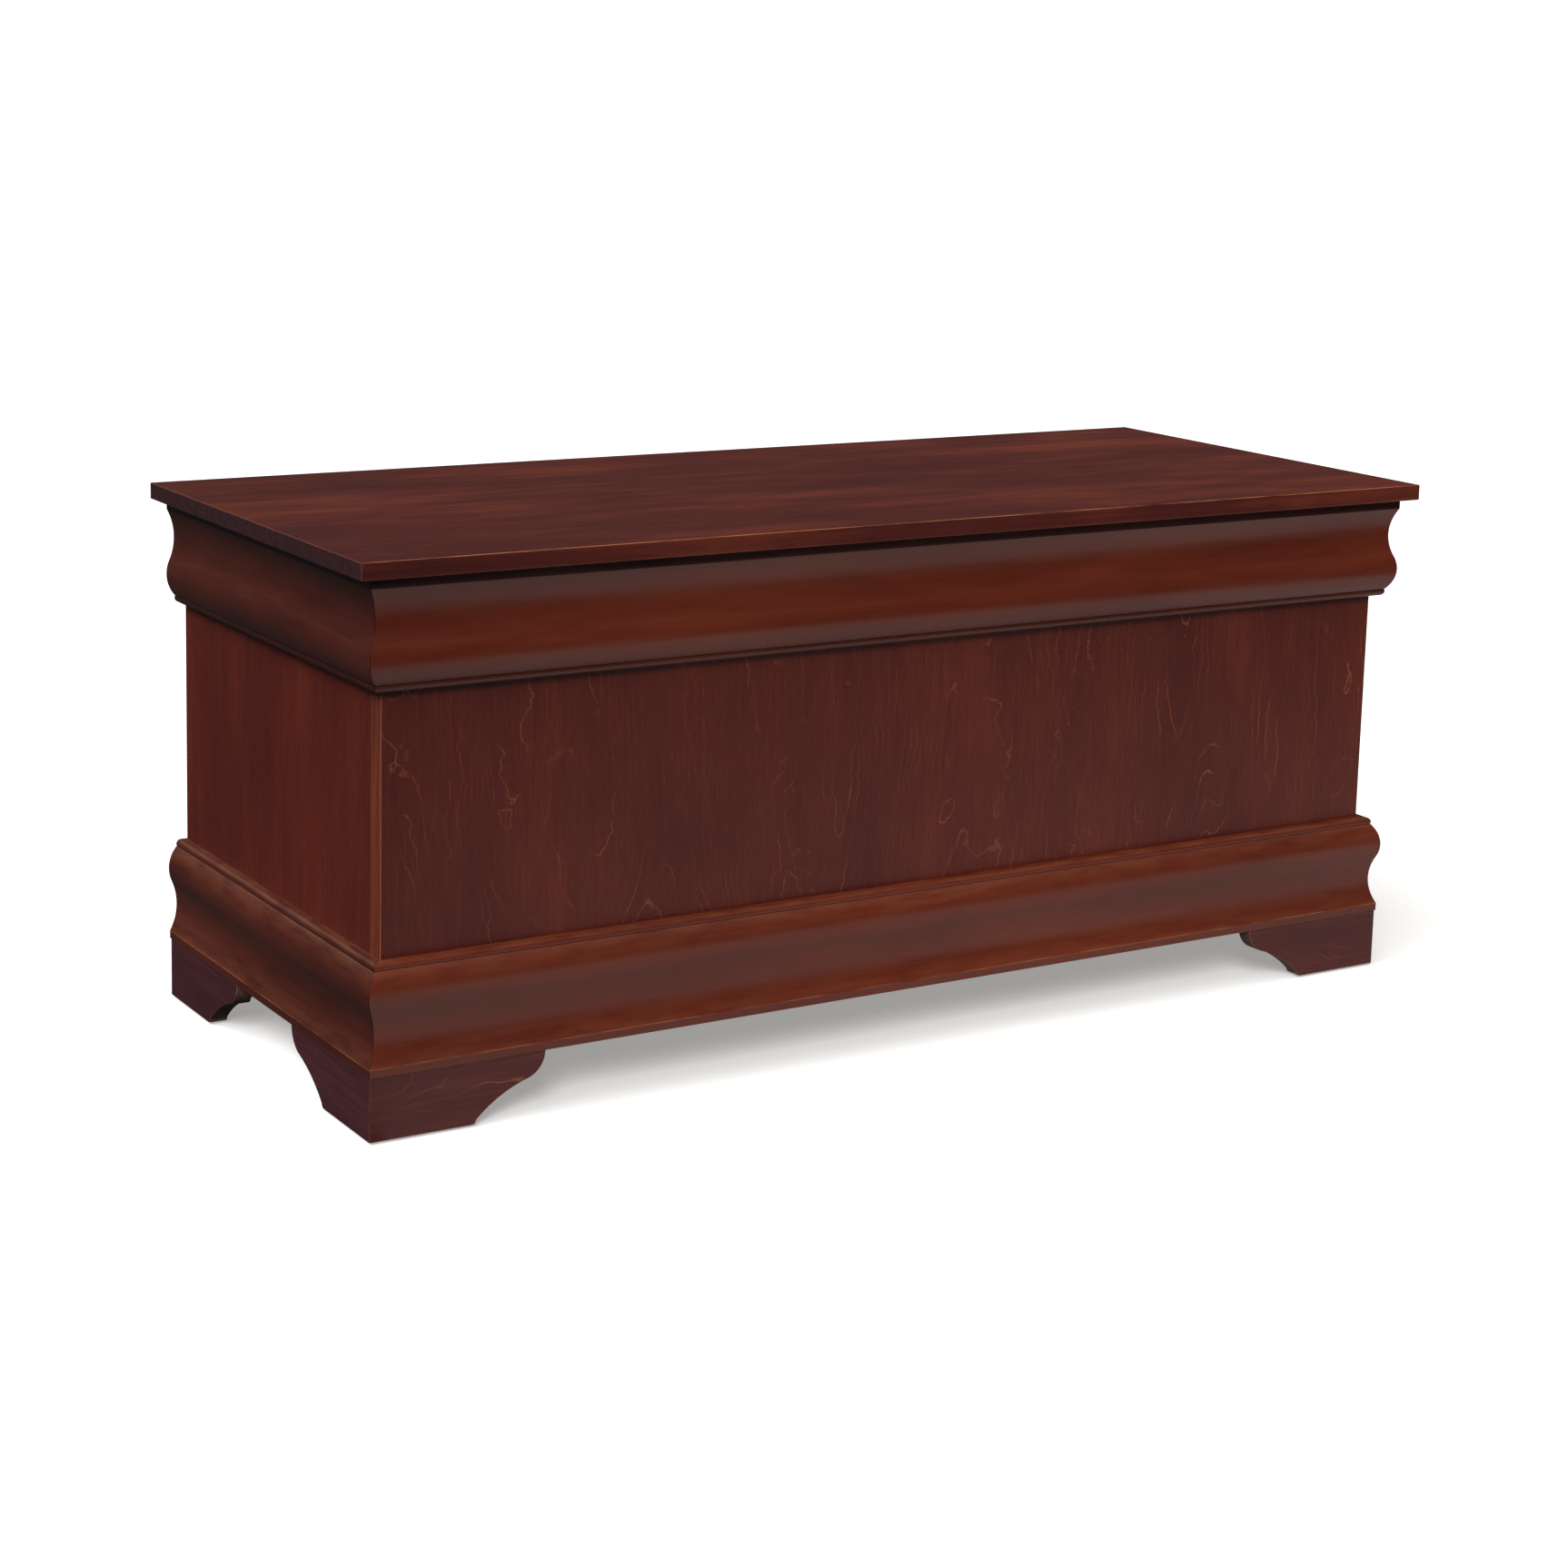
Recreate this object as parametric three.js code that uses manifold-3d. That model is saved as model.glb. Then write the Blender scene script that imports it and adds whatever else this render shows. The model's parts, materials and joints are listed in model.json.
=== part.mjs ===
// Storage chest on bracket feet: a flat hinged lid over a veneered case with an ogee crown
// moulding under the lid, the same moulding turned over at the base, and four bracket feet.
// Millimetres, +Z up, front towards -Y. The origin is on the floor, under the middle of the lid.
import * as THREE from 'three';
import { mergeVertices } from 'three/addons/utils/BufferGeometryUtils.js';
import Module from 'manifold-3d';

// ---------------------------------------------------------------- driving dimensions

const LID_WIDTH = 1200;
const LID_DEPTH = 498;
const LID_THICKNESS = 16;
const CHEST_HEIGHT = 522;
const LID_SIDE_OVERHANG = 33;
const LID_FRONT_OVERHANG = 31.6;

const FRONT_THICKNESS = 20;
const SIDE_THICKNESS = 16;
const BACK_THICKNESS = 12;
const BOTTOM_THICKNESS = 12;
const LIPPING_THICKNESS = 5;
const CLEAT_SIZE = 20;
const HINGE_RAIL_THICKNESS = 18;
const HINGE_RAIL_HEIGHT = 50;
const BATTEN_WIDTH = 45;
const BATTEN_THICKNESS = 14;
const BATTEN_SPACING = 640;
const BATTEN_CLEARANCE = 12;

const MOULDING_HEIGHT = 101;
const MOULDING_DEPTH = 19.6;
const COVE_RECESS = 7.8;
const COVE_SHARE_OF_HEIGHT = 0.352;
const CREST_SHARE_OF_HEIGHT = 0.715;
const COVE_SHARE_OF_RADII = 0.633;
const FILLET_HEIGHT = 8;
const BEAD_HEIGHT = 7.5;
const BEAD_DEPTH = 11.5;
const BEAD_RADIUS = 4.5;
const QUIRK_WIDTH = 1;

const FOOT_HEIGHT = 58.5;
const FOOT_THICKNESS = 18;
const FOOT_SETBACK = 1.8;
const FOOT_REACH = 173;
const FOOT_TOE = 104;
const FOOT_TOE_RADIUS = 4;
const FOOT_LOBE_RADIUS = 25;
const FOOT_COVE_RADIUS = 124;
const FOOT_BLOCK_SIZE = 42;
const GLIDE_HEIGHT = 2.5;
const GLIDE_RADIUS = 8;
const GLIDE_INSET = 19;

const HINGE_SPACING = 430;
const LEAF_WIDTH = 64;
const LEAF_DEPTH = 30;
const LEAF_THICKNESS = 1.6;
const LEAF_HOLES = 3;
const LEAF_HOLE_RADIUS = 2.2;
const BARREL_RADIUS = 3;
const PIN_RADIUS = 1.5;
const KNUCKLES = 5;

const LID_OPENING = 95;
const STAY_RADIUS = 150;
const STAY_REST_ANGLE = 38;
const STAY_DROP = 14;
const STAY_WIDTH = 16;
const STAY_THICKNESS = 3;
const STAY_SLOT_TRAVEL_SPARE = 2;
const STUD_RADIUS = 3;
const STUD_HEAD_RADIUS = 6.5;
const STUD_HEAD_THICKNESS = 1.8;
const STUD_PLATE_THICKNESS = 2;
const STUD_PLATE_LENGTH = 44;
const STUD_PLATE_WIDTH = 20;
const RIVET_RADIUS = 2.3;
const RIVET_HEAD_RADIUS = 4.5;
const RIVET_HEAD_THICKNESS = 1.4;
const BRACKET_THICKNESS = 2.5;
const BRACKET_LENGTH = 44;
const BRACKET_FLANGE = 26;
const BUMPER_RADIUS = 5;
const BUMPER_INSET = 40;

const GLUE_LINE = 0.3;
const RUNNING_CLEARANCE = 0.1;
const SLIDING_CLEARANCE = 0.3;
const SAME_POINT = 1e-4;

// ---------------------------------------------------------------- places worked out from them

const lidBottom = CHEST_HEIGHT - LID_THICKNESS;
const caseTop = lidBottom - LEAF_THICKNESS - 2 * GLUE_LINE;
const footTop = GLIDE_HEIGHT + FOOT_HEIGHT;
const caseBottom = footTop + GLUE_LINE;
const caseHeight = caseTop - caseBottom;
const caseHalfWidth = LID_WIDTH / 2 - LID_SIDE_OVERHANG;
const caseFront = -LID_DEPTH / 2 + LID_FRONT_OVERHANG;
const caseBack = LID_DEPTH / 2 - 2 * BARREL_RADIUS - 2 * GLUE_LINE;
const caseDepth = caseBack - caseFront;

const innerHalfWidth = caseHalfWidth - SIDE_THICKNESS;
const innerFront = caseFront + FRONT_THICKNESS;
const innerBack = caseBack - BACK_THICKNESS;
const floorUnderside = caseBottom + CLEAT_SIZE + GLUE_LINE;

const pin = { y: caseBack + GLUE_LINE + BARREL_RADIUS, z: lidBottom - GLUE_LINE - BARREL_RADIUS };

// The stay arm turns on a rivet under the lid and slides on a stud on the case side. Rivet and
// stud are equally far from the hinge pin, so the arm turns by exactly half the lid's angle.
const rivetFall = Math.asin((pin.z - lidBottom + STAY_DROP) / STAY_RADIUS);
const studFall = rivetFall + THREE.MathUtils.degToRad(STAY_REST_ANGLE);
const rivetPoint = {
  y: pin.y - STAY_RADIUS * Math.cos(rivetFall),
  z: pin.z - STAY_RADIUS * Math.sin(rivetFall),
};
const studPoint = {
  y: pin.y - STAY_RADIUS * Math.cos(studFall),
  z: pin.z - STAY_RADIUS * Math.sin(studFall),
};
const rivetToStud = (degrees) => 2 * STAY_RADIUS * Math.sin(THREE.MathUtils.degToRad(degrees) / 2);
const slotStart = rivetToStud(STAY_REST_ANGLE) - STAY_SLOT_TRAVEL_SPARE;
const slotEnd = rivetToStud(STAY_REST_ANGLE + LID_OPENING) + STAY_SLOT_TRAVEL_SPARE;

// Distances of the stay's layers from the inner face of the case side.
const studPlateOff = GLUE_LINE + STUD_PLATE_THICKNESS;
const armNear = studPlateOff + SLIDING_CLEARANCE;
const armFar = armNear + STAY_THICKNESS;
const bracketNear = armFar + SLIDING_CLEARANCE;
const bracketFar = bracketNear + BRACKET_THICKNESS;

// ---------------------------------------------------------------- materials

const finish = (color, roughness, metalness = 0) =>
  new THREE.MeshStandardMaterial({ color, roughness, metalness });

const lidVeneer = finish(0x552b28, 0.35);
const panelVeneer = finish(0x4c211b, 0.4);
const lippingWood = finish(0x63351f, 0.4);
const mouldingWood = finish(0x582a1e, 0.35);
const footWood = finish(0x46262a, 0.45);
const innerWood = finish(0x6e4030, 0.6);
const brass = finish(0x8a6f3c, 0.35, 1);
const steel = finish(0x77726a, 0.35, 1);
const nylon = finish(0x1b1a1a, 0.6);
const rubber = finish(0x8d8a85, 0.8);

// ---------------------------------------------------------------- helpers

const wasm = await Module();
wasm.setup();

function solid(geometry) {
  const bare = geometry.clone();
  bare.deleteAttribute('normal');
  bare.deleteAttribute('uv');
  const merged = mergeVertices(bare);
  return new wasm.Manifold(new wasm.Mesh({
    numProp: 3,
    vertProperties: merged.attributes.position.array,
    triVerts: Uint32Array.from(merged.index.array),
  }));
}

function geometryOf(manifold) {
  const { vertProperties, triVerts } = manifold.getMesh();
  const geometry = new THREE.BufferGeometry();
  geometry.setAttribute('position', new THREE.BufferAttribute(vertProperties, 3));
  geometry.setIndex(new THREE.BufferAttribute(triVerts, 1));
  return geometry;
}

function named(name, geometry, material) {
  const mesh = new THREE.Mesh(geometry, material);
  mesh.name = name;
  return mesh;
}

// A box between two values on each axis, whichever of the two is the larger.
function boxBetween([x0, x1], [y0, y1], [z0, z1]) {
  const geometry = new THREE.BoxGeometry(Math.abs(x1 - x0), Math.abs(y1 - y0), Math.abs(z1 - z0));
  return geometry.translate((x0 + x1) / 2, (y0 + y1) / 2, (z0 + z1) / 2);
}

// A cylinder lying along X between two values of X.
function barBetween([x0, x1], radius, segments) {
  const geometry = new THREE.CylinderGeometry(radius, radius, Math.abs(x1 - x0), segments);
  return geometry.rotateZ(Math.PI / 2).translate((x0 + x1) / 2, 0, 0);
}

function extruded(shape, depth, curveSegments = 12) {
  return new THREE.ExtrudeGeometry(shape, { depth, curveSegments, bevelEnabled: false });
}

// A flat bar's outline with round ends, from one end's centre to the other's.
function roundEndedBar(outline, start, end, radius) {
  outline.absarc(start, 0, radius, Math.PI / 2, 1.5 * Math.PI);
  outline.absarc(end, 0, radius, -Math.PI / 2, Math.PI / 2);
  outline.closePath();
  return outline;
}

function circle(x, y, radius) {
  return new THREE.Path().absarc(x, y, radius, 0, 2 * Math.PI, true);
}

// The points of an outline, without the second of any two that fall together where arcs meet.
function outlinePoints(shape, divisions) {
  const points = shape.getPoints(divisions);
  return points.filter((point, i) => i === 0 || point.distanceTo(points[i - 1]) > SAME_POINT);
}

// Stands an extrusion up: its drawn X runs along the given axis, its drawn Y is up, and its
// thickness runs towards -Y when drawn along X, or towards +X when drawn along Y.
const drawnAlong = {
  x: new THREE.Matrix4().makeRotationX(Math.PI / 2),
  y: new THREE.Matrix4().makeBasis(
    new THREE.Vector3(0, 1, 0), new THREE.Vector3(0, 0, 1), new THREE.Vector3(1, 0, 0),
  ),
};

// Lays a section drawn outwards and up along Y, the way a side moulding runs.
const runAlongY = new THREE.Matrix4().makeBasis(
  new THREE.Vector3(-1, 0, 0), new THREE.Vector3(0, 0, 1), new THREE.Vector3(0, 1, 0),
);

// ---------------------------------------------------------------- case

function casePanels() {
  const sideFront = innerFront + GLUE_LINE;
  const lippedHalf = caseHalfWidth - LIPPING_THICKNESS;
  const front = new THREE.Group();
  front.add(named('front_panel', boxBetween(
    [-lippedHalf + GLUE_LINE, lippedHalf - GLUE_LINE], [caseFront, innerFront], [0, caseHeight],
  ), panelVeneer));
  const group = new THREE.Group();
  for (const [name, side] of [['left', -1], ['right', 1]]) {
    front.add(named(`front_lipping_${name}`, boxBetween(
      [side * lippedHalf, side * caseHalfWidth], [caseFront, innerFront], [0, caseHeight],
    ), lippingWood));
    group.add(named(`side_panel_${name}`, boxBetween(
      [side * innerHalfWidth, side * caseHalfWidth], [sideFront, caseBack], [0, caseHeight],
    ), panelVeneer));
  }
  group.add(front);
  const backHalf = innerHalfWidth - GLUE_LINE;
  group.add(named('back_panel', boxBetween(
    [-backHalf, backHalf], [innerBack, caseBack], [0, caseHeight],
  ), panelVeneer));
  group.add(named('hinge_rail', boxBetween(
    [-backHalf, backHalf],
    [innerBack - GLUE_LINE - HINGE_RAIL_THICKNESS, innerBack - GLUE_LINE],
    [caseHeight - HINGE_RAIL_HEIGHT, caseHeight],
  ), innerWood));
  group.position.z = caseBottom;
  return group;
}

function caseFloor() {
  const group = new THREE.Group();
  const halfWidth = innerHalfWidth - GLUE_LINE;
  const front = innerFront + GLUE_LINE;
  const back = innerBack - GLUE_LINE;
  group.add(named('bottom_panel', boxBetween(
    [-halfWidth, halfWidth], [front, back], [floorUnderside, floorUnderside + BOTTOM_THICKNESS],
  ), innerWood));
  const cleatHeight = [caseBottom, caseBottom + CLEAT_SIZE];
  group.add(named('floor_cleat_front', boxBetween(
    [-halfWidth, halfWidth], [front, front + CLEAT_SIZE], cleatHeight,
  ), innerWood));
  group.add(named('floor_cleat_back', boxBetween(
    [-halfWidth, halfWidth], [back - CLEAT_SIZE, back], cleatHeight,
  ), innerWood));
  const sideCleat = [front + CLEAT_SIZE + GLUE_LINE, back - CLEAT_SIZE - GLUE_LINE];
  for (const [name, side] of [['left', -1], ['right', 1]]) {
    group.add(named(`floor_cleat_${name}`, boxBetween(
      [side * halfWidth, side * (halfWidth - CLEAT_SIZE)], sideCleat, cleatHeight,
    ), innerWood));
  }
  return group;
}

// ---------------------------------------------------------------- mouldings

// The moulding's section: x is how far it stands out from the case, y is the height above the
// outer end of its fillet. A cove runs into a round belly, then a quirk and a small bead. The
// cove and the belly are arcs that meet without a corner, so their radii follow from the two
// depths and from the height between the cove's deepest point and the belly's crest.
function mouldingOutline() {
  const coveY = COVE_SHARE_OF_HEIGHT * MOULDING_HEIGHT;
  const crestY = CREST_SHARE_OF_HEIGHT * MOULDING_HEIGHT;
  const radii = (COVE_RECESS ** 2 + (crestY - coveY) ** 2) / (2 * COVE_RECESS);
  const coveRadius = COVE_SHARE_OF_RADII * radii;
  const bellyRadius = radii - coveRadius;
  const coveX = MOULDING_DEPTH - COVE_RECESS + coveRadius;
  const bellyX = MOULDING_DEPTH - bellyRadius;
  const filletX = coveX - Math.sqrt(coveRadius ** 2 - (coveY - FILLET_HEIGHT) ** 2);
  const coveStart = Math.atan2(FILLET_HEIGHT - coveY, filletX - coveX);
  const meeting = Math.atan2(crestY - coveY, bellyX - coveX);
  const beadY = MOULDING_HEIGHT - BEAD_HEIGHT;
  const bellyEnd = Math.asin((beadY - QUIRK_WIDTH - crestY) / bellyRadius);
  const beadShoulder = MOULDING_HEIGHT - BEAD_RADIUS;
  const outline = new THREE.Shape();
  outline.moveTo(GLUE_LINE, 0);
  outline.lineTo(filletX, 0);
  outline.absarc(coveX, coveY, coveRadius, coveStart, meeting, true);
  outline.absarc(bellyX, crestY, bellyRadius, meeting - Math.PI, bellyEnd, false);
  outline.lineTo(BEAD_DEPTH - QUIRK_WIDTH, beadY - QUIRK_WIDTH / 2);
  outline.lineTo(BEAD_DEPTH, beadY);
  outline.absarc(BEAD_DEPTH - BEAD_RADIUS, beadShoulder, BEAD_RADIUS, 0, Math.PI / 2, false);
  outline.lineTo(GLUE_LINE, MOULDING_HEIGHT);
  return outlinePoints(outline, 6);
}

// One run of moulding along +Z. outward is +1 or -1 along X, crown turns the section over so
// that its fillet is at the top, and a mitred end grows by the depth of the section.
function mouldingRun(length, outward, crown, mitredStart, mitredEnd) {
  const points = mouldingOutline().map(({ x, y }) =>
    new THREE.Vector2(outward * x, crown ? MOULDING_HEIGHT - y : y));
  const geometry = extruded(new THREE.Shape(points), length);
  const position = geometry.attributes.position;
  for (let i = 0; i < position.count; i += 1) {
    const out = Math.abs(position.getX(i)) - GLUE_LINE / 2;
    const atStart = position.getZ(i) < length / 2;
    if (atStart && mitredStart) position.setZ(i, -out);
    if (!atStart && mitredEnd) position.setZ(i, length + out);
  }
  geometry.computeVertexNormals();
  return geometry;
}

function mouldingFrame(prefix, crown, bottom) {
  const group = new THREE.Group();
  const front = named(`${prefix}_front`,
    mouldingRun(2 * caseHalfWidth, -1, crown, true, true), mouldingWood);
  front.geometry.applyMatrix4(drawnAlong.y);
  front.position.set(-caseHalfWidth, caseFront, 0);
  group.add(front);
  for (const [name, side] of [['left', -1], ['right', 1]]) {
    const run = named(`${prefix}_${name}`,
      mouldingRun(caseDepth, -side, crown, true, false), mouldingWood);
    run.geometry.applyMatrix4(runAlongY);
    run.position.set(side * caseHalfWidth, caseFront, 0);
    group.add(run);
  }
  group.position.z = bottom;
  return group;
}

// ---------------------------------------------------------------- bracket feet

// A bracket foot's outline from its corner edge outwards: a flat bottom with a rounded toe, a
// hollow that climbs away from it, and a lobe that meets the top edge upright. The hollow and
// the lobe touch without a corner, which fixes the hollow's centre.
function footOutline(reach, toe) {
  const lobe = new THREE.Vector2(reach - FOOT_LOBE_RADIUS, FOOT_HEIGHT);
  const toeTip = new THREE.Vector2(toe, FOOT_TOE_RADIUS);
  const apart = FOOT_COVE_RADIUS + FOOT_LOBE_RADIUS;
  const toLobe = lobe.clone().sub(toeTip);
  const span = toLobe.length();
  const along = (FOOT_COVE_RADIUS ** 2 - apart ** 2 + span ** 2) / (2 * span);
  const off = Math.sqrt(FOOT_COVE_RADIUS ** 2 - along ** 2);
  const unit = toLobe.divideScalar(span);
  const hollow = new THREE.Vector2(
    toeTip.x + along * unit.x + off * unit.y,
    toeTip.y + along * unit.y - off * unit.x,
  );
  const angleFrom = (centre, point) => Math.atan2(point.y - centre.y, point.x - centre.x);
  const shape = new THREE.Shape();
  shape.moveTo(0, 0);
  shape.lineTo(toe - FOOT_TOE_RADIUS, 0);
  shape.absarc(toe - FOOT_TOE_RADIUS, FOOT_TOE_RADIUS, FOOT_TOE_RADIUS, -Math.PI / 2, 0, false);
  shape.absarc(hollow.x, hollow.y, FOOT_COVE_RADIUS,
    angleFrom(hollow, toeTip), angleFrom(hollow, lobe), true);
  shape.absarc(lobe.x, lobe.y, FOOT_LOBE_RADIUS, angleFrom(lobe, hollow), 0, false);
  shape.lineTo(0, FOOT_HEIGHT);
  return outlinePoints(shape, 5);
}

// One plate of a foot, extruded through its thickness. direction is the way it runs from its
// corner edge, and cutBack is how far that edge is cut back at each depth of the extrusion.
function footPlate(outline, direction, cutBack) {
  const points = outline.map(({ x, y }) => new THREE.Vector2(direction * x, y));
  const geometry = extruded(new THREE.Shape(points), FOOT_THICKNESS);
  const position = geometry.attributes.position;
  for (let i = 0; i < position.count; i += 1) {
    if (Math.abs(position.getX(i)) > SAME_POINT) continue;
    position.setX(i, direction * (cutBack(position.getZ(i)) + GLUE_LINE / 2));
  }
  geometry.computeVertexNormals();
  return geometry;
}

// side is -1 for a left foot and +1 for a right one. A front foot's plates are mitred at the
// corner; a rear foot's back plate butts against its side plate. A block fills the corner.
function foot(name, side, isFront) {
  const group = new THREE.Group();
  const inward = isFront ? 1 : -1;
  const proud = MOULDING_DEPTH - FOOT_SETBACK;
  const cornerX = side * (caseHalfWidth + proud);
  const cornerY = isFront ? caseFront - proud : caseBack;
  const innerX = cornerX - side * FOOT_THICKNESS;
  const innerY = cornerY + inward * FOOT_THICKNESS;
  const square = () => 0;
  const fromNearFace = (z) => z;
  const fromFarFace = (z) => FOOT_THICKNESS - z;

  const sideMitre = side < 0 ? fromNearFace : fromFarFace;
  const outline = footOutline(FOOT_REACH, FOOT_TOE);
  const sidePlate = footPlate(outline, inward, isFront ? sideMitre : square);
  sidePlate.applyMatrix4(drawnAlong.y).translate(Math.min(cornerX, innerX), cornerY, 0);
  group.add(named(`${name}_side_plate`, sidePlate, footWood));

  if (isFront) {
    const frontPlate = footPlate(outline, -side, fromFarFace);
    frontPlate.applyMatrix4(drawnAlong.x).translate(cornerX, innerY, 0);
    group.add(named(`${name}_front_plate`, frontPlate, footWood));
  } else {
    const shorter = footOutline(FOOT_REACH - FOOT_THICKNESS, FOOT_TOE - FOOT_THICKNESS);
    const backPlate = footPlate(shorter, -side, square);
    backPlate.applyMatrix4(drawnAlong.x).translate(innerX, cornerY, 0);
    group.add(named(`${name}_back_plate`, backPlate, footWood));
  }

  const blockX = innerX - side * GLUE_LINE;
  const blockY = innerY + inward * GLUE_LINE;
  group.add(named(`${name}_block`, boxBetween(
    [blockX, blockX - side * FOOT_BLOCK_SIZE],
    [blockY, blockY + inward * FOOT_BLOCK_SIZE],
    [0, FOOT_HEIGHT],
  ), innerWood));

  const glide = named(`${name}_glide`, glideGeometry(), nylon);
  glide.position.set(cornerX - side * GLIDE_INSET, cornerY + inward * GLIDE_INSET, -GLIDE_HEIGHT);
  group.add(glide);
  group.position.z = GLIDE_HEIGHT;
  return group;
}

// A nail-on glide: a low button whose lower edge is rounded.
function glideGeometry() {
  const top = GLIDE_HEIGHT - GLUE_LINE;
  const profile = new THREE.Path();
  profile.moveTo(0, 0);
  profile.lineTo(GLIDE_RADIUS - top, 0);
  profile.absarc(GLIDE_RADIUS - top, top, top, -Math.PI / 2, 0, false);
  profile.lineTo(0, top);
  const geometry = new THREE.LatheGeometry(profile.getPoints(4), 20);
  return geometry.rotateX(Math.PI / 2);
}

// ---------------------------------------------------------------- lid

function lid() {
  const group = new THREE.Group();
  const halfWidth = LID_WIDTH / 2;
  const halfDepth = LID_DEPTH / 2;
  group.add(named('lid_panel', boxBetween(
    [-halfWidth, halfWidth], [-halfDepth, halfDepth], [0, LID_THICKNESS],
  ), lidVeneer));
  const railFront = innerBack - GLUE_LINE - HINGE_RAIL_THICKNESS;
  for (const [name, side] of [['left', -1], ['right', 1]]) {
    const middle = side * BATTEN_SPACING / 2;
    group.add(named(`lid_batten_${name}`, boxBetween(
      [middle - BATTEN_WIDTH / 2, middle + BATTEN_WIDTH / 2],
      [innerFront + BATTEN_CLEARANCE, railFront - BATTEN_CLEARANCE],
      [-BATTEN_THICKNESS - GLUE_LINE, -GLUE_LINE],
    ), innerWood));
  }
  group.position.z = lidBottom;
  return group;
}

// A low round pad on the case's top edge that the closed lid comes down on.
function bumpers() {
  const group = new THREE.Group();
  const height = lidBottom - caseTop - 2 * GLUE_LINE;
  for (const [name, side] of [['left', -1], ['right', 1]]) {
    const geometry = new THREE.CylinderGeometry(BUMPER_RADIUS, BUMPER_RADIUS, height, 20);
    const bumper = named(`lid_bumper_${name}`, geometry.rotateX(Math.PI / 2), rubber);
    bumper.position.set(
      side * (caseHalfWidth - BUMPER_INSET),
      caseFront + FRONT_THICKNESS / 2,
      caseTop + GLUE_LINE + height / 2,
    );
    group.add(bumper);
  }
  return group;
}

// ---------------------------------------------------------------- hinges

// Each knuckle's span along the barrel; the case leaf has the even ones and the lid leaf the odd.
function knuckleSpans(parity) {
  const pitch = LEAF_WIDTH / KNUCKLES;
  const spans = [];
  for (let i = parity; i < KNUCKLES; i += 2) {
    const start = -LEAF_WIDTH / 2 + i * pitch;
    spans.push([start + SLIDING_CLEARANCE / 2, start + pitch - SLIDING_CLEARANCE / 2]);
  }
  return spans;
}

// A leaf with its knuckles round the pin's axis, which is the local X axis. The plate hangs
// down behind the barrel's front and stops short of the other leaf's knuckles.
function hingeLeaf(parity) {
  const plateY = -BARREL_RADIUS;
  const plateTop = -BARREL_RADIUS - SLIDING_CLEARANCE;
  const outline = new THREE.Shape();
  outline.moveTo(-LEAF_WIDTH / 2, -LEAF_DEPTH);
  outline.lineTo(LEAF_WIDTH / 2, -LEAF_DEPTH);
  outline.lineTo(LEAF_WIDTH / 2, plateTop);
  outline.lineTo(-LEAF_WIDTH / 2, plateTop);
  for (let i = 0; i < LEAF_HOLES; i += 1) {
    const x = (i - (LEAF_HOLES - 1) / 2) * (LEAF_WIDTH / LEAF_HOLES);
    outline.holes.push(circle(x, (plateTop - LEAF_DEPTH) / 2, LEAF_HOLE_RADIUS));
  }
  const plate = extruded(outline, LEAF_THICKNESS, 6);
  plate.applyMatrix4(drawnAlong.x).translate(0, plateY + LEAF_THICKNESS, 0);
  let leaf = solid(plate);
  for (const span of knuckleSpans(parity)) {
    leaf = leaf.add(solid(boxBetween(
      span, [plateY, plateY + LEAF_THICKNESS], [plateTop - LEAF_THICKNESS, 0],
    )));
    leaf = leaf.add(solid(barBetween(span, BARREL_RADIUS, 20)));
  }
  const bore = barBetween([-LEAF_WIDTH, LEAF_WIDTH], PIN_RADIUS + RUNNING_CLEARANCE, 20);
  return geometryOf(leaf.subtract(solid(bore)));
}

function hinges() {
  const caseHalves = new THREE.Group();
  const lidHalves = new THREE.Group();
  for (const [name, at] of [['left', -1], ['centre', 0], ['right', 1]]) {
    const x = at * HINGE_SPACING;
    const caseLeaf = named(`hinge_${name}_case_leaf`, hingeLeaf(0), brass);
    caseLeaf.position.x = x;
    const lidLeaf = named(`hinge_${name}_lid_leaf`, hingeLeaf(1), brass);
    lidLeaf.position.x = x;
    lidLeaf.rotation.x = -Math.PI / 2;
    const pinGeometry = barBetween([-LEAF_WIDTH / 2, LEAF_WIDTH / 2], PIN_RADIUS, 20);
    const hingePin = named(`hinge_${name}_pin`, pinGeometry, steel);
    hingePin.position.x = x;
    caseHalves.add(caseLeaf, hingePin);
    lidHalves.add(lidLeaf);
  }
  for (const group of [caseHalves, lidHalves]) group.position.set(0, pin.y, pin.z);
  return [caseHalves, lidHalves];
}

// ---------------------------------------------------------------- lid stays

// A slotted flat arm: a round hole for the rivet at its start and a slot that rides on the stud.
function stayArmGeometry() {
  const radius = STAY_WIDTH / 2;
  const outline = roundEndedBar(new THREE.Shape(), 0, slotEnd + radius / 2, radius);
  outline.holes.push(circle(0, 0, RIVET_RADIUS + SLIDING_CLEARANCE));
  const slot = roundEndedBar(new THREE.Path(), slotStart, slotEnd, STUD_RADIUS + SLIDING_CLEARANCE);
  outline.holes.push(slot);
  return extruded(outline, STAY_THICKNESS, 8);
}

// The lower of the two X values between which a layer of the stay lies, at its distances from
// the inner face of the case side.
function layerX(side, near, far) {
  return Math.min(side * (innerHalfWidth - near), side * (innerHalfWidth - far));
}

// A piece turned about the X axis, from [radius, distance from the case side] pairs.
function turnedAcross(profile, side) {
  const points = profile.map(([radius, off]) => new THREE.Vector2(radius, -side * off));
  if (side > 0) points.reverse();
  const geometry = new THREE.LatheGeometry(points, 20);
  return geometry.rotateZ(-Math.PI / 2).translate(side * innerHalfWidth, 0, 0);
}

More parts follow.
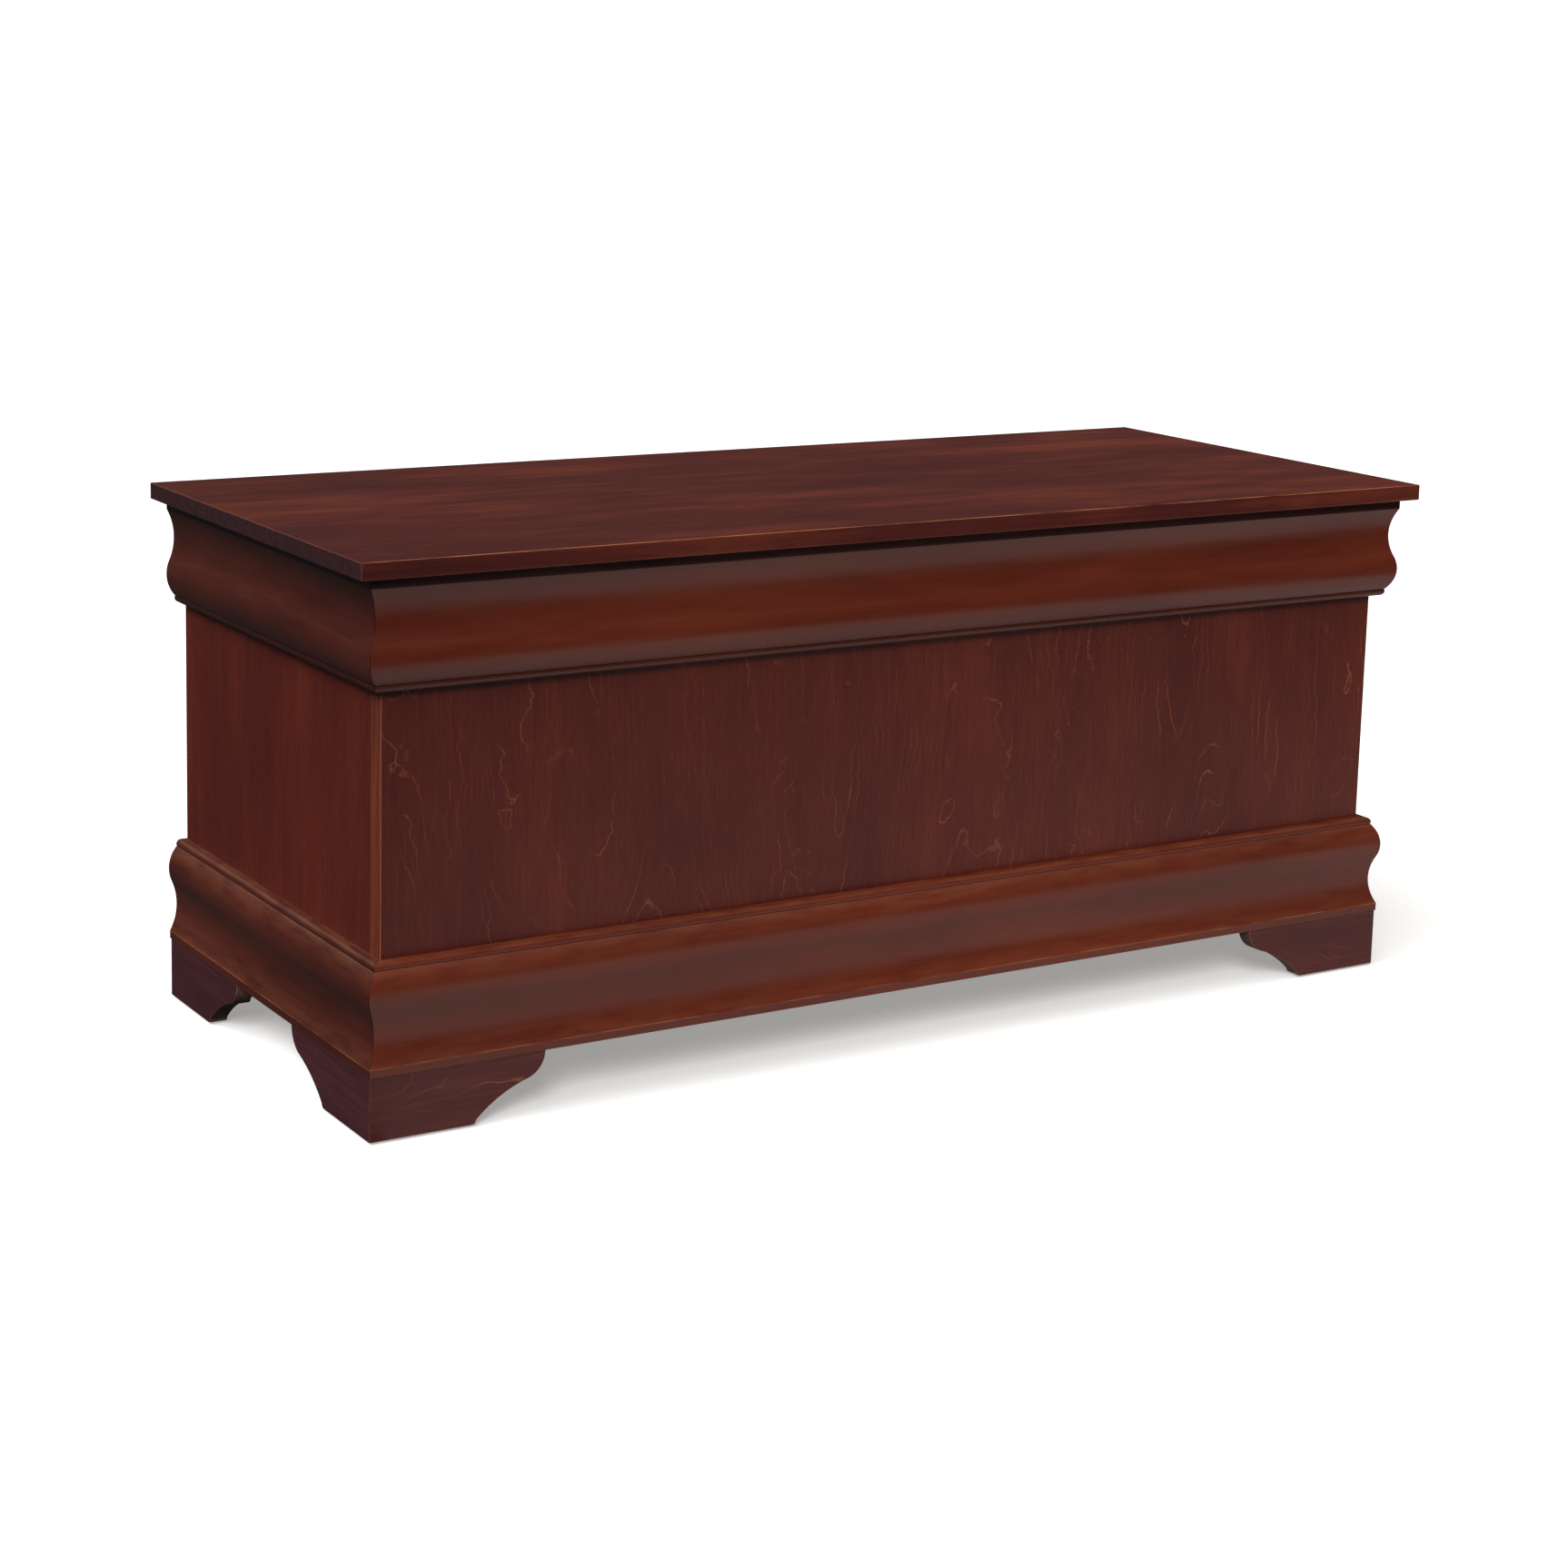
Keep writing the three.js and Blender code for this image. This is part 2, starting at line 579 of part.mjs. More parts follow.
// An angle under the lid: a flange against the lid and a round-ended tab with the rivet's hole.
function stayBracketGeometry(side) {
  const radius = STAY_WIDTH / 2;
  const top = STAY_DROP - GLUE_LINE;
  const outline = new THREE.Shape();
  outline.moveTo(-radius, top);
  outline.absarc(0, 0, radius, Math.PI, 2 * Math.PI, false);
  outline.lineTo(radius, top);
  outline.holes.push(circle(0, 0, RIVET_RADIUS + GLUE_LINE));
  const tab = extruded(outline, BRACKET_THICKNESS, 8);
  tab.applyMatrix4(drawnAlong.y).translate(layerX(side, bracketNear, bracketFar), 0, 0);
  const outerX = side * (innerHalfWidth - bracketNear);
  const flange = boxBetween(
    [outerX, outerX - side * BRACKET_FLANGE],
    [-BRACKET_LENGTH / 2, BRACKET_LENGTH / 2],
    [top - BRACKET_THICKNESS, top],
  );
  return geometryOf(solid(tab).add(solid(flange)));
}

// A round-ended plate on the case side with two screw holes and the headed stud in its middle.
function stayStudGeometry(side) {
  const radius = STUD_PLATE_WIDTH / 2;
  const holeAt = STUD_PLATE_LENGTH / 2 - radius;
  const outline = roundEndedBar(new THREE.Shape(), -holeAt, holeAt, radius);
  for (const x of [-holeAt, holeAt]) outline.holes.push(circle(x, 0, LEAF_HOLE_RADIUS));
  const plate = extruded(outline, STUD_PLATE_THICKNESS, 8);
  plate.applyMatrix4(drawnAlong.y).translate(layerX(side, GLUE_LINE, studPlateOff), 0, 0);
  const underHead = armFar + SLIDING_CLEARANCE;
  const stud = turnedAcross([
    [0, studPlateOff - STUD_PLATE_THICKNESS / 2],
    [STUD_RADIUS, studPlateOff - STUD_PLATE_THICKNESS / 2],
    [STUD_RADIUS, underHead],
    [STUD_HEAD_RADIUS, underHead],
    [STUD_HEAD_RADIUS, underHead + STUD_HEAD_THICKNESS],
    [0, underHead + STUD_HEAD_THICKNESS],
  ], side);
  return geometryOf(solid(plate).add(solid(stud)));
}

// The rivet through arm and bracket, with a head at each end.
function stayRivetGeometry(side) {
  const outer = armNear - RUNNING_CLEARANCE;
  const inner = bracketFar + GLUE_LINE;
  return turnedAcross([
    [0, outer - RIVET_HEAD_THICKNESS],
    [RIVET_HEAD_RADIUS, outer - RIVET_HEAD_THICKNESS],
    [RIVET_HEAD_RADIUS, outer],
    [RIVET_RADIUS, outer],
    [RIVET_RADIUS, inner],
    [RIVET_HEAD_RADIUS, inner],
    [RIVET_HEAD_RADIUS, inner + RIVET_HEAD_THICKNESS],
    [0, inner + RIVET_HEAD_THICKNESS],
  ], side);
}

function stay(name, side) {
  const group = new THREE.Group();
  const atRivet = new THREE.Group();
  atRivet.position.set(0, rivetPoint.y, rivetPoint.z);
  const arm = stayArmGeometry();
  arm.applyMatrix4(drawnAlong.y);
  arm.rotateX(Math.atan2(studPoint.z - rivetPoint.z, studPoint.y - rivetPoint.y));
  arm.translate(layerX(side, armNear, armFar), 0, 0);
  atRivet.add(
    named(`stay_arm_${name}`, arm, steel),
    named(`stay_bracket_${name}`, stayBracketGeometry(side), steel),
    named(`stay_rivet_${name}`, stayRivetGeometry(side), steel),
  );
  const stud = named(`stay_stud_${name}`, stayStudGeometry(side), steel);
  stud.position.set(0, studPoint.y, studPoint.z);
  group.add(atRivet, stud);
  return group;
}

// ---------------------------------------------------------------- the chest

function buildChest() {
  const chest = new THREE.Group();
  chest.add(casePanels(), caseFloor(), bumpers(), lid(), ...hinges());
  chest.add(mouldingFrame('crown', true, caseTop - MOULDING_HEIGHT));
  chest.add(mouldingFrame('base', false, caseBottom));
  for (const [name, side] of [['left', -1], ['right', 1]]) {
    chest.add(foot(`foot_front_${name}`, side, true), foot(`foot_back_${name}`, side, false));
    chest.add(stay(name, side));
  }
  return chest;
}

export default buildChest();
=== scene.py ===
import json
import math
from typing import NamedTuple

import bmesh
import bpy
from bmesh.types import BMEdge, BMVert
from bpy.props import FloatProperty, FloatVectorProperty, PointerProperty
from bpy.types import Operator, Panel, PropertyGroup
from mathutils import Matrix, Vector


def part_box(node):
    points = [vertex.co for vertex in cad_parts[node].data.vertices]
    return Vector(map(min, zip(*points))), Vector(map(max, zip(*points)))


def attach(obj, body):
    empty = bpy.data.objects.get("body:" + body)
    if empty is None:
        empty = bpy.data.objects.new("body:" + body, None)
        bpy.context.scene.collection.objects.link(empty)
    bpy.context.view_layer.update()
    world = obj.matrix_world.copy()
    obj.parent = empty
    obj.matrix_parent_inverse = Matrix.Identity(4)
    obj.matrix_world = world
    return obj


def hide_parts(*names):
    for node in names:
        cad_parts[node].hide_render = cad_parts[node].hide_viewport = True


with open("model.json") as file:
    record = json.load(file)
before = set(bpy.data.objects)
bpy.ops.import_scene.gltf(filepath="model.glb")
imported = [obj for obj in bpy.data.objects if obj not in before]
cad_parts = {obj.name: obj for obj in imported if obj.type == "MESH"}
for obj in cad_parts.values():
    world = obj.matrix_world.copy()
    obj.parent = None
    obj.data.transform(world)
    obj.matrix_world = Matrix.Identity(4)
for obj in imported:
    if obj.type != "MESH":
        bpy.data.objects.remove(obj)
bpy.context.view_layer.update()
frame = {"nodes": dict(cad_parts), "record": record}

bl_info = {
    "name": "Bracket-foot chest",
    "version": (1, 0, 0),
    "blender": (4, 5, 0),
    "location": "3D View > Sidebar > Chest",
    "description": "Builds the fine pieces, finishes and studio of a hinged wooden chest",
    "category": "Object",
}

MM = 0.001
# Points closer together than this are one.
ONE_POINT = 0.001 * MM
X, Y, Z = 0, 1, 2
SIDES = (("left", -1), ("right", 1))
RECORD = frame["record"]
BODY_OF = {node: body for body, nodes in RECORD["behaviour"]["bodies"].items() for node in nodes}

# Where the case's front, its sides and the back ends of its side boards lie, from the frame.
CASE_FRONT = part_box("front_panel")[0].y
CASE_HALF_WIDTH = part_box("front_lipping_right")[1].x
CASE_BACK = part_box("side_panel_left")[1].y


# ---------------------------------------------------------------- sizes and colours

def linear(code):
    """Turns an sRGB hex colour into linear red, green, blue and alpha."""
    shares = [int(code[i:i + 2], 16) / 255 for i in (1, 3, 5)]
    return [s / 12.92 if s <= 0.04045 else ((s + 0.055) / 1.055) ** 2.4 for s in shares] + [1.0]


def length(name, description, millimetres):
    """Declares a length, whose default is given in millimetres."""
    return FloatProperty(
        name=name, description=description, default=millimetres * MM, unit="LENGTH", precision=5,
    )


def share(name, description, default):
    """Declares a plain share between 0 and 1."""
    return FloatProperty(
        name=name, description=description, default=default, min=0.0, max=1.0, subtype="FACTOR",
    )


def angle(name, description, degrees):
    """Declares an angle, whose default is given in degrees."""
    return FloatProperty(
        name=name, description=description, default=math.radians(degrees), subtype="ANGLE",
    )


def colour(name, description, code):
    """Declares a colour, whose default is an sRGB hex code."""
    return FloatVectorProperty(
        name=name, description=description, default=linear(code), size=4,
        min=0.0, max=1.0, subtype="COLOR",
    )


class ChestBoardSizes(PropertyGroup):
    """How the edges of the boards are eased."""
    lid_arris: length("Lid arris", "Radius of the lid board's sanded edges", 0.9)
    lid_front_arris: length("Lid front arris", "Radius of the lid's upper front edge", 0.63)
    case_arris: length("Case arris", "Radius of the case's outer corners", 0.5)
    side_arris: length("Side arris", "Radius of the side boards' edges", 0.25)
    block_arris: length("Block arris", "Radius of the edges of the blocks in the feet", 1.6)
    inner_arris: length("Inner arris", "Radius of the edges of the boards inside", 0.8)
    batten_arris: length("Batten arris", "Radius of the lower edges of the lid's battens", 3.0)
    joint_gap: length("Joint gap", "Width of the fine line between two glued pieces", 0.15)


class ChestMouldingSizes(PropertyGroup):
    """The section of the ogee moulding. Its height and depth come from the frame."""
    cove_recess: length("Cove recess", "How far the cove lies behind the belly's crest", 7.8)
    cove_height: share("Cove height", "Height of the cove's deepest point, as a share", 0.352)
    crest_height: share("Crest height", "Height of the belly's crest, as a share", 0.715)
    cove_share: share("Cove share", "The cove's share of the two radii together", 0.633)
    fillet_height: length("Fillet height", "Height of the flat fillet below the cove", 8.0)
    bead_height: length("Bead height", "Height of the small bead above the belly", 6.2)
    bead_depth: length("Bead depth", "How far the bead stands out from the case", 11.5)
    bead_radius: length("Bead radius", "Radius of the bead's rounded shoulder", 4.5)
    quirk_width: length("Quirk width", "Width of the groove between belly and bead", 0.9)
    arris: length("Arris", "Radius of the moulding's sharp edges", 0.5)
    mitre_gap: length("Mitre gap", "How far each end of a run stands back from its mitre", 0.25)


class ChestFootSizes(PropertyGroup):
    """The outline of a bracket foot. Its reach and height come from the frame."""
    toe: length("Toe", "Length of a side plate's flat bottom with its rounded toe", 104.0)
    toe_radius: length("Toe radius", "Radius of the toe", 4.0)
    lobe_radius: length("Lobe radius", "Radius of the lobe under the moulding", 25.0)
    hollow_radius: length("Hollow radius", "Radius of the hollow between toe and lobe", 124.0)
    arris: length("Arris", "Radius of the plates' edges", 0.6)


class ChestFittingSizes(PropertyGroup):
    """The metal fittings and their screws."""
    metal_arris: length("Metal arris", "Radius of the fittings' deburred edges", 0.22)
    leaf_thickness: length("Leaf thickness", "Thickness of a hinge leaf", 1.6)
    leaf_flat: length("Leaf flat", "How far from the pin's axis the flat of a leaf starts", 3.3)
    pin_round: share("Pin round", "Rounding of a pin's ends, as a share of its radius", 0.6)
    glide_round: share("Glide round", "Rounding of a glide's lower rim, by its height", 0.8)
    bumper_round: share("Bumper round", "Rounding of a bumper's lower rim, by its height", 0.7)
    pad_arris: share("Pad arris", "Rounding of a glide's or bumper's other rim", 0.1)
    batten_spread: share("Batten spread", "How far its end screws lie from its middle", 0.375)
    bracket_thickness: length("Bracket thickness", "Thickness of a stay bracket's flange", 2.5)
    bracket_line: share("Bracket line", "Where across the flange its screws lie", 0.4)
    bracket_spread: share("Bracket spread", "How far its screws lie from its middle", 0.3)
    plate_thickness: length("Plate thickness", "Thickness of the plate under a stud", 2.0)
    screw_radius: length("Screw radius", "Radius of a countersunk screw head", 2.1)
    bracket_screw_radius: length("Bracket screw radius", "Radius of a bracket's screw heads", 2.73)
    wood_screw_radius: length("Wood screw radius", "Radius of the screw heads in wood", 3.6)
    recess_width: length("Recess width", "Width of one bar of a screw's cross recess", 0.7)
    screw_depth: length("Screw depth", "How deep a screw head's cone goes", 1.1)
    leaf_sink: length("Leaf sink", "How deep a screw head lies in a hinge leaf", 0.15)
    plate_sink: length("Plate sink", "How deep a screw head lies in a stud's plate", 0.1)
    bracket_proud: length("Bracket proud", "How far a bracket's screw heads stand out", 0.05)
    wood_proud: length("Wood proud", "How far the screw heads in wood stand out", 0.02)


class ChestWearAndPaintedLight(PropertyGroup):
    """How far the stain is rubbed off an edge, and how much light and shade are painted on the
    mouldings.
    """
    lid_front: share("Lid, front", "Wear of the upper front edge, which hands lift", 0.85)
    lid_edges: share("Lid, edges", "Wear of the lid's other edges", 0.12)
    corner: share("Corner", "Wear of the case's two front corners", 0.6)
    front_edges: share("Front, edges", "Wear of the front board's long edges", 0.3)
    side_edges: share("Sides, edges", "Wear of the side boards' edges", 0.15)
    hidden_edges: share("Hidden edges", "Wear of the back's and bottom's edges", 0.1)
    inner_edges: share("Inner edges", "Wear of the battens, rail, cleats and blocks", 0.2)
    fillet: share("Fillet", "Wear of the base moulding's lower edge", 0.45)
    # Painted light: lightens the base moulding's upward faces, as light from above does.
    upward_painted_light: share("Upward painted light", "Wear of what looks upward on the base moulding", 0.17)
    foot_edges: share("Feet, edges", "Wear of the feet's edges", 0.3)
    foot_corner: share("Feet, corner", "Wear of the front feet's mitred corner", 0.35)
    # Painted shade: these darken the crown's fillet under the lid and its bead, where shade falls.
    corner_painted_shade: share("Corner painted shade", "Stain gathered in the corner under the lid", 0.65)
    bead_painted_shade: share("Bead painted shade", "Stain gathered along the crown's bead", 0.45)


class ChestColours(PropertyGroup):
    """The stained woods, each with a deep, a middle and a light tone, and the small parts."""
    lid_deep: colour("Lid, deep", "Dark streaks of the lid's veneer", "#3F1613")
    lid_middle: colour("Lid, middle", "Ground tone of the lid's veneer", "#4C1B15")
    lid_light: colour("Lid, light", "Light streaks of the lid's veneer", "#642B1C")
    # Darker as end grain drinks more stain; their purple tint is a painted reflection.
    end_deep: colour("End, deep", "Dark pores of the lid's end grain", "#261318")
    end_middle: colour("End, middle", "Ground tone of the lid's end grain", "#2F171B")
    end_light: colour("End, light", "Light pores of the lid's end grain", "#3B1F23")
    panel_deep: colour("Panel, deep", "Dark grain of the case's veneer", "#421512")
    panel_middle: colour("Panel, middle", "Ground tone of the case's veneer", "#501B13")
    panel_light: colour("Panel, light", "Light grain of the case's veneer", "#602617")
    figure: colour("Figure", "Fine pale lines where growth rings surface", "#86452A")
    lipping_deep: colour("Lipping, deep", "Dark grain of the lippings", "#4E1F15")
    lipping_middle: colour("Lipping, middle", "Ground tone of the lippings", "#632D1C")
    lipping_light: colour("Lipping, light", "Light grain of the lippings", "#723A28")
    moulding_deep: colour("Moulding, deep", "Dark mottles of the mouldings", "#521E12")
    moulding_middle: colour("Moulding, middle", "Ground tone of the mouldings", "#5A2213")
    moulding_light: colour("Moulding, light", "Light mottles of the mouldings", "#632816")
    # Painted shade: the side runs take a darker copy of the front runs' stain, for the shade that
    # falls on the sides.
    return_deep: colour("Return, deep", "Dark mottles of the side mouldings", "#38150F")
    return_middle: colour("Return, middle", "Ground tone of the side mouldings", "#421A13")
    return_light: colour("Return, light", "Light mottles of the side mouldings", "#4D2118")
    foot_deep: colour("Foot, deep", "Dark grain of the front and back plates", "#3E1815")
    foot_middle: colour("Foot, middle", "Ground tone of the front and back plates", "#491D1A")
    foot_light: colour("Foot, light", "Light grain of the front and back plates", "#562620")
    # Painted shade: the side plates take a darker, more purple copy of the front plates' veneer,
    # for the shade and reflection on the sides.
    side_foot_deep: colour("Side foot, deep", "Dark grain of the feet's side plates", "#36181C")
    side_foot_middle: colour("Side foot, middle", "Ground of the feet's side plates", "#3F1E23")
    side_foot_light: colour("Side foot, light", "Light grain of the feet's side plates", "#4B272B")
    sawn_deep: colour("Sawn, deep", "Dark plies of the feet's sawn edges", "#3F2C28")
    sawn_middle: colour("Sawn, middle", "Ground tone of the feet's sawn edges", "#5A433C")
    sawn_light: colour("Sawn, light", "Light plies of the feet's sawn edges", "#705850")
    inner_deep: colour("Inner wood, deep", "Dark grain of the boards inside", "#6B4630")
    inner_middle: colour("Inner wood, middle", "Ground tone of the boards inside", "#8A6042")
    inner_light: colour("Inner wood, light", "Light grain of the boards inside", "#A97F5B")
    # Also the colour of the painted light on the base moulding's upward faces.
    arris: colour("Arris", "Wood showing where the stain is rubbed off an edge", "#A5663F")
    # Painted shade: the near-black laid where shade falls under the lid and along the crown's
    # bead.
    glaze: colour("Glaze", "Dark stain that has gathered in a corner", "#120A0B")
    brass: colour("Brass", "Antique brass of the hinges", "#B08A4C")
    brass_tarnish: colour("Brass tarnish", "Brown film on the brass", "#7A5C2E")
    steel: colour("Steel", "Zinc plate of the stays", "#A5A29B")
    steel_dull: colour("Dull steel", "Dull patches of the zinc plate", "#6F6D68")
    nylon: colour("Nylon", "Black nylon of the glides", "#1B1A1A")
    rubber: colour("Rubber", "Grey rubber of the bumpers", "#8D8A85")
    floor: colour("Floor", "Pale studio floor", "#EFEEEC")
    card: colour("Card", "Grey card that lights the chest from below", "#BBBAB8")


class ChestStudio(PropertyGroup):
    """The camera and the lights."""
    place: FloatVectorProperty(
        name="Camera", description="Where the camera stands", size=3,
        default=(-1.6667, -2.6191, 0.9765), unit="LENGTH", subtype="TRANSLATION",
    )
    heading: angle("Heading", "Turn of the view from +Y towards +X", 32.09)
    dip: angle("Dip", "How far the view points down", 9.83)
    roll: angle("Roll", "Tilt of the camera about its view", 1.51)
    lens: FloatProperty(name="Lens", description="Focal length in millimetres", default=71.36)
    shift: share("Shift", "How far the lens is shifted down, as a share of the view's width", 0.14)
    key_azimuth: angle("Key azimuth", "Turn of the key light from the front to the left", 36.0)
    key_height: angle("Key height", "Height of the key light above the floor", 32.0)
    key_spread: angle("Key spread", "Angle that the key light fills", 20.0)
    key_strength: FloatProperty(name="Key strength", description="Sun strength", default=2.19)
    side_azimuth: angle("Side azimuth", "Turn of the side light from the front to the left", 80.0)
    side_height: angle("Side height", "Height of the side and back lights above the floor", 50.0)
    side_strength: FloatProperty(name="Side strength", description="Sun strength", default=2.3)
    back_azimuth: angle("Back azimuth", "Turn of the back light from the front to the left", 150.0)
    back_strength: FloatProperty(name="Back strength", description="Sun strength", default=0.5)
    soft_spread: angle("Soft spread", "Angle that the side and back lights fill", 55.0)
    room: share("Room", "Brightness of the walls round the chest", 0.04)
    ceiling: share("Ceiling", "Brightness of the ceiling", 0.35)
    wall_top: share("Wall top", "Steepness of view, as a sine, at which the walls end", 0.45)
    ceiling_edge: share("Ceiling edge", "Steepness at which the ceiling has its full light", 0.85)
    floor_radius: length("Floor radius", "Radius of the pale floor", 30000.0)
    card_radius: length("Card radius", "Radius of the pale card that lights from below", 1150.0)
    glow: share("Floor glow", "How much the floor shines by itself", 0.38)


# ---------------------------------------------------------------- finishes

def add(tree, kind, settings=None, inputs=None):
    """Adds a node, sets its properties, and gives each input a value or a link."""
    made = tree.nodes.new(kind)
    for key, value in (settings or {}).items():
        setattr(made, key, value)
    for key, value in (inputs or {}).items():
        if isinstance(value, bpy.types.NodeSocket):
            tree.links.new(value, made.inputs[key])
        else:
            made.inputs[key].default_value = value
    return made


class Wood(NamedTuple):
    """What tells one stained wood from another. Its marks have a width and a length in mm."""
    tones: tuple
    mottle: tuple
    streak: tuple
    mottle_share: float
    pore_share: float
    roughness: float
    gloss: float
    rubbed_and_lit: tuple
    figured: bool = False


def blank(name):
    """A new material with its node tree, its shader and the place on the object."""
    material = bpy.data.materials.new(name)
    material.use_nodes = True
    tree = material.node_tree
    place = add(tree, "ShaderNodeTexCoord").outputs["Object"]
    return material, tree, tree.nodes["Principled BSDF"], place


def grain_layer(tree, place, along, size, detail):
    """Noise stretched along the grain: size is how wide and how long its marks are, in mm."""
    scale = [1 / (size[0] * MM)] * 3
    scale[along] = 1 / (size[1] * MM)
    stretched = add(tree, "ShaderNodeMapping", inputs={"Vector": place, "Scale": scale})
    noise = add(tree, "ShaderNodeTexNoise", inputs={
        "Vector": stretched.outputs["Vector"], "Scale": 1.0, "Detail": detail, "Roughness": 0.55,
    })
    return noise.outputs["Fac"]


def wobbled(tree, place, scale, reach):
    """Shifts a place about by a noise: scale is its grain and reach its strength, in mm."""
    noise = add(tree, "ShaderNodeTexNoise", inputs={
        "Vector": place, "Scale": 1 / (scale * MM), "Detail": 2.0,
    })
    centred = add(tree, "ShaderNodeVectorMath", {"operation": "SUBTRACT"}, {
        0: noise.outputs["Color"], 1: (0.5, 0.5, 0.5),
    })
    shift = add(tree, "ShaderNodeVectorMath", {"operation": "SCALE"}, {
        0: centred.outputs["Vector"], "Scale": reach * MM,
    })
    return add(tree, "ShaderNodeVectorMath", {"operation": "ADD"}, {
        0: place, 1: shift.outputs["Vector"],
    }).outputs["Vector"]


def figure_lines(tree, place, along):
    """Fine broken lines where growth rings meet the veneer."""
    spacing = 14 * MM
    # How many rings the slow noise pushes them aside, which bends them into long flames.
    wander = 13.0
    shaken = wobbled(tree, wobbled(tree, place, 34, 18), 6, 3.4)
    rings_per_metre = [1 / spacing] * 3
    rings_per_metre[along] = 0.0
    across = add(tree, "ShaderNodeVectorMath", {"operation": "DOT_PRODUCT"}, {
        0: shaken, 1: rings_per_metre,
    })
    rings = add(tree, "ShaderNodeMath", {"operation": "MULTIPLY_ADD"}, {
        0: grain_layer(tree, shaken, along, (62, 330), 0.0), 1: wander, 2: across.outputs["Value"],
    })
    within = add(tree, "ShaderNodeMath", {"operation": "PINGPONG"}, {
        0: rings.outputs["Value"], 1: 0.5,
    })
    line = add(tree, "ShaderNodeMapRange", inputs={
        "Value": within.outputs["Value"], "From Min": 0.012, "From Max": 0.04,
        "To Min": 1.0, "To Max": 0.0,
    })
    broken = add(tree, "ShaderNodeMapRange", inputs={
        "Value": grain_layer(tree, place, along, (30, 90), 3.0),
        "From Min": 0.46, "From Max": 0.62, "To Min": 0.0, "To Max": 0.66,
    })
    return add(tree, "ShaderNodeMath", {"operation": "MULTIPLY"}, {
        0: line.outputs["Result"], 1: broken.outputs["Result"],
    }).outputs["Value"]


def stain_colour(tree, place, along, wood, colours, streak, pores):
    """The stain: mottle, streaks and pores on a ramp from deep to light, under the figure."""
    mottle = grain_layer(tree, place, along, wood.mottle, 3.0)
    body = add(tree, "ShaderNodeMix", inputs={0: wood.mottle_share, 2: streak, 3: mottle})
    tone = add(tree, "ShaderNodeMix", inputs={0: wood.pore_share, 2: body.outputs[0], 3: pores})
    ramp = add(tree, "ShaderNodeValToRGB", inputs={"Fac": tone.outputs[0]})
    deep, light = ramp.color_ramp.elements
    deep.position, deep.color = 0.36, wood.tones[0]
    light.position, light.color = 0.64, wood.tones[2]
    ramp.color_ramp.elements.new(0.5).color = wood.tones[1]
    if not wood.figured:
        return ramp.outputs["Color"]
    return add(tree, "ShaderNodeMix", {"data_type": "RGBA"}, {
        0: figure_lines(tree, place, along), 6: ramp.outputs["Color"], 7: colours.figure,
    }).outputs[2]


def worn_and_painted_light_colour(tree, place, along, wood, colours, stain):
    """The stain, paler in patches on faces marked as worn and on the base moulding's upward faces,
    where light is painted, and darker where shade is painted.
    """
    wear = add(tree, "ShaderNodeAttribute", {"attribute_name": "wear"})
    patchy = add(tree, "ShaderNodeMapRange", inputs={
        "Value": grain_layer(tree, place, along, (9, 45), 3.0),
        "From Min": wood.rubbed_and_lit[0], "From Max": wood.rubbed_and_lit[1],
    })
    # Painted light: on the base moulding's upward faces this share lightens the stain; on eased
    # edges it is rubbed wear.
    rubbed_and_lit = add(tree, "ShaderNodeMath", {"operation": "MULTIPLY"}, {
        0: wear.outputs["Fac"], 1: patchy.outputs["Result"],
    })
    paler = add(tree, "ShaderNodeMix", {"data_type": "RGBA"}, {
        0: rubbed_and_lit.outputs["Value"], 6: stain, 7: colours.arris,
    })
    # Painted shade: faces marked here are darkened towards the near-black shade colour.
    glaze = add(tree, "ShaderNodeAttribute", {"attribute_name": "glaze"})
    return add(tree, "ShaderNodeMix", {"data_type": "RGBA"}, {
        0: glaze.outputs["Fac"], 6: paler.outputs[2], 7: colours.glaze,
    }).outputs[2]


def stained_wood(name, along, wood, colours):
    """Stained and lacquered wood with its grain along one axis."""
    if name in bpy.data.materials:
        return bpy.data.materials[name]
    material, tree, shader, place = blank(name)
    streak = grain_layer(tree, place, along, wood.streak, 4.0)
    # Real pores are about 0.1 mm wide, too fine to show, so they are drawn 0.9 mm wide.
    pores = grain_layer(tree, place, along, (0.9, 16), 1.0)
    stain = stain_colour(tree, place, along, wood, colours, streak, pores)
    surface = worn_and_painted_light_colour(tree, place, along, wood, colours, stain)
    sheen = add(tree, "ShaderNodeMapRange", inputs={
        "Value": streak, "From Min": 0.3, "From Max": 0.7,
        "To Min": wood.roughness - 0.05, "To Max": wood.roughness + 0.06,
    })
    relief = add(tree, "ShaderNodeBump", inputs={
        "Strength": 0.35, "Distance": 0.03 * MM, "Height": pores,
    })
    tree.links.new(surface, shader.inputs["Base Color"])
    tree.links.new(sheen.outputs["Result"], shader.inputs["Roughness"])
    tree.links.new(relief.outputs["Normal"], shader.inputs["Normal"])
    shader.inputs["Specular IOR Level"].default_value = wood.gloss
    return material


def tones(colours, wood):
    """The deep, middle and light tone of one of the woods."""
    return tuple(getattr(colours, f"{wood}_{tone}")[:] for tone in ("deep", "middle", "light"))


def lid_veneer(colours):
    """Cherry veneer, stained and sprayed with satin lacquer: soft dark streaks along the lid."""
    wood = Wood(
        tones(colours, "lid"), mottle=(80, 260), streak=(6, 150), mottle_share=0.66,
        pore_share=0.12, roughness=0.38, gloss=0.33, rubbed_and_lit=(0.3, 0.55),
    )
    return stained_wood("Stained cherry veneer, satin lacquer, lid", X, wood, colours)


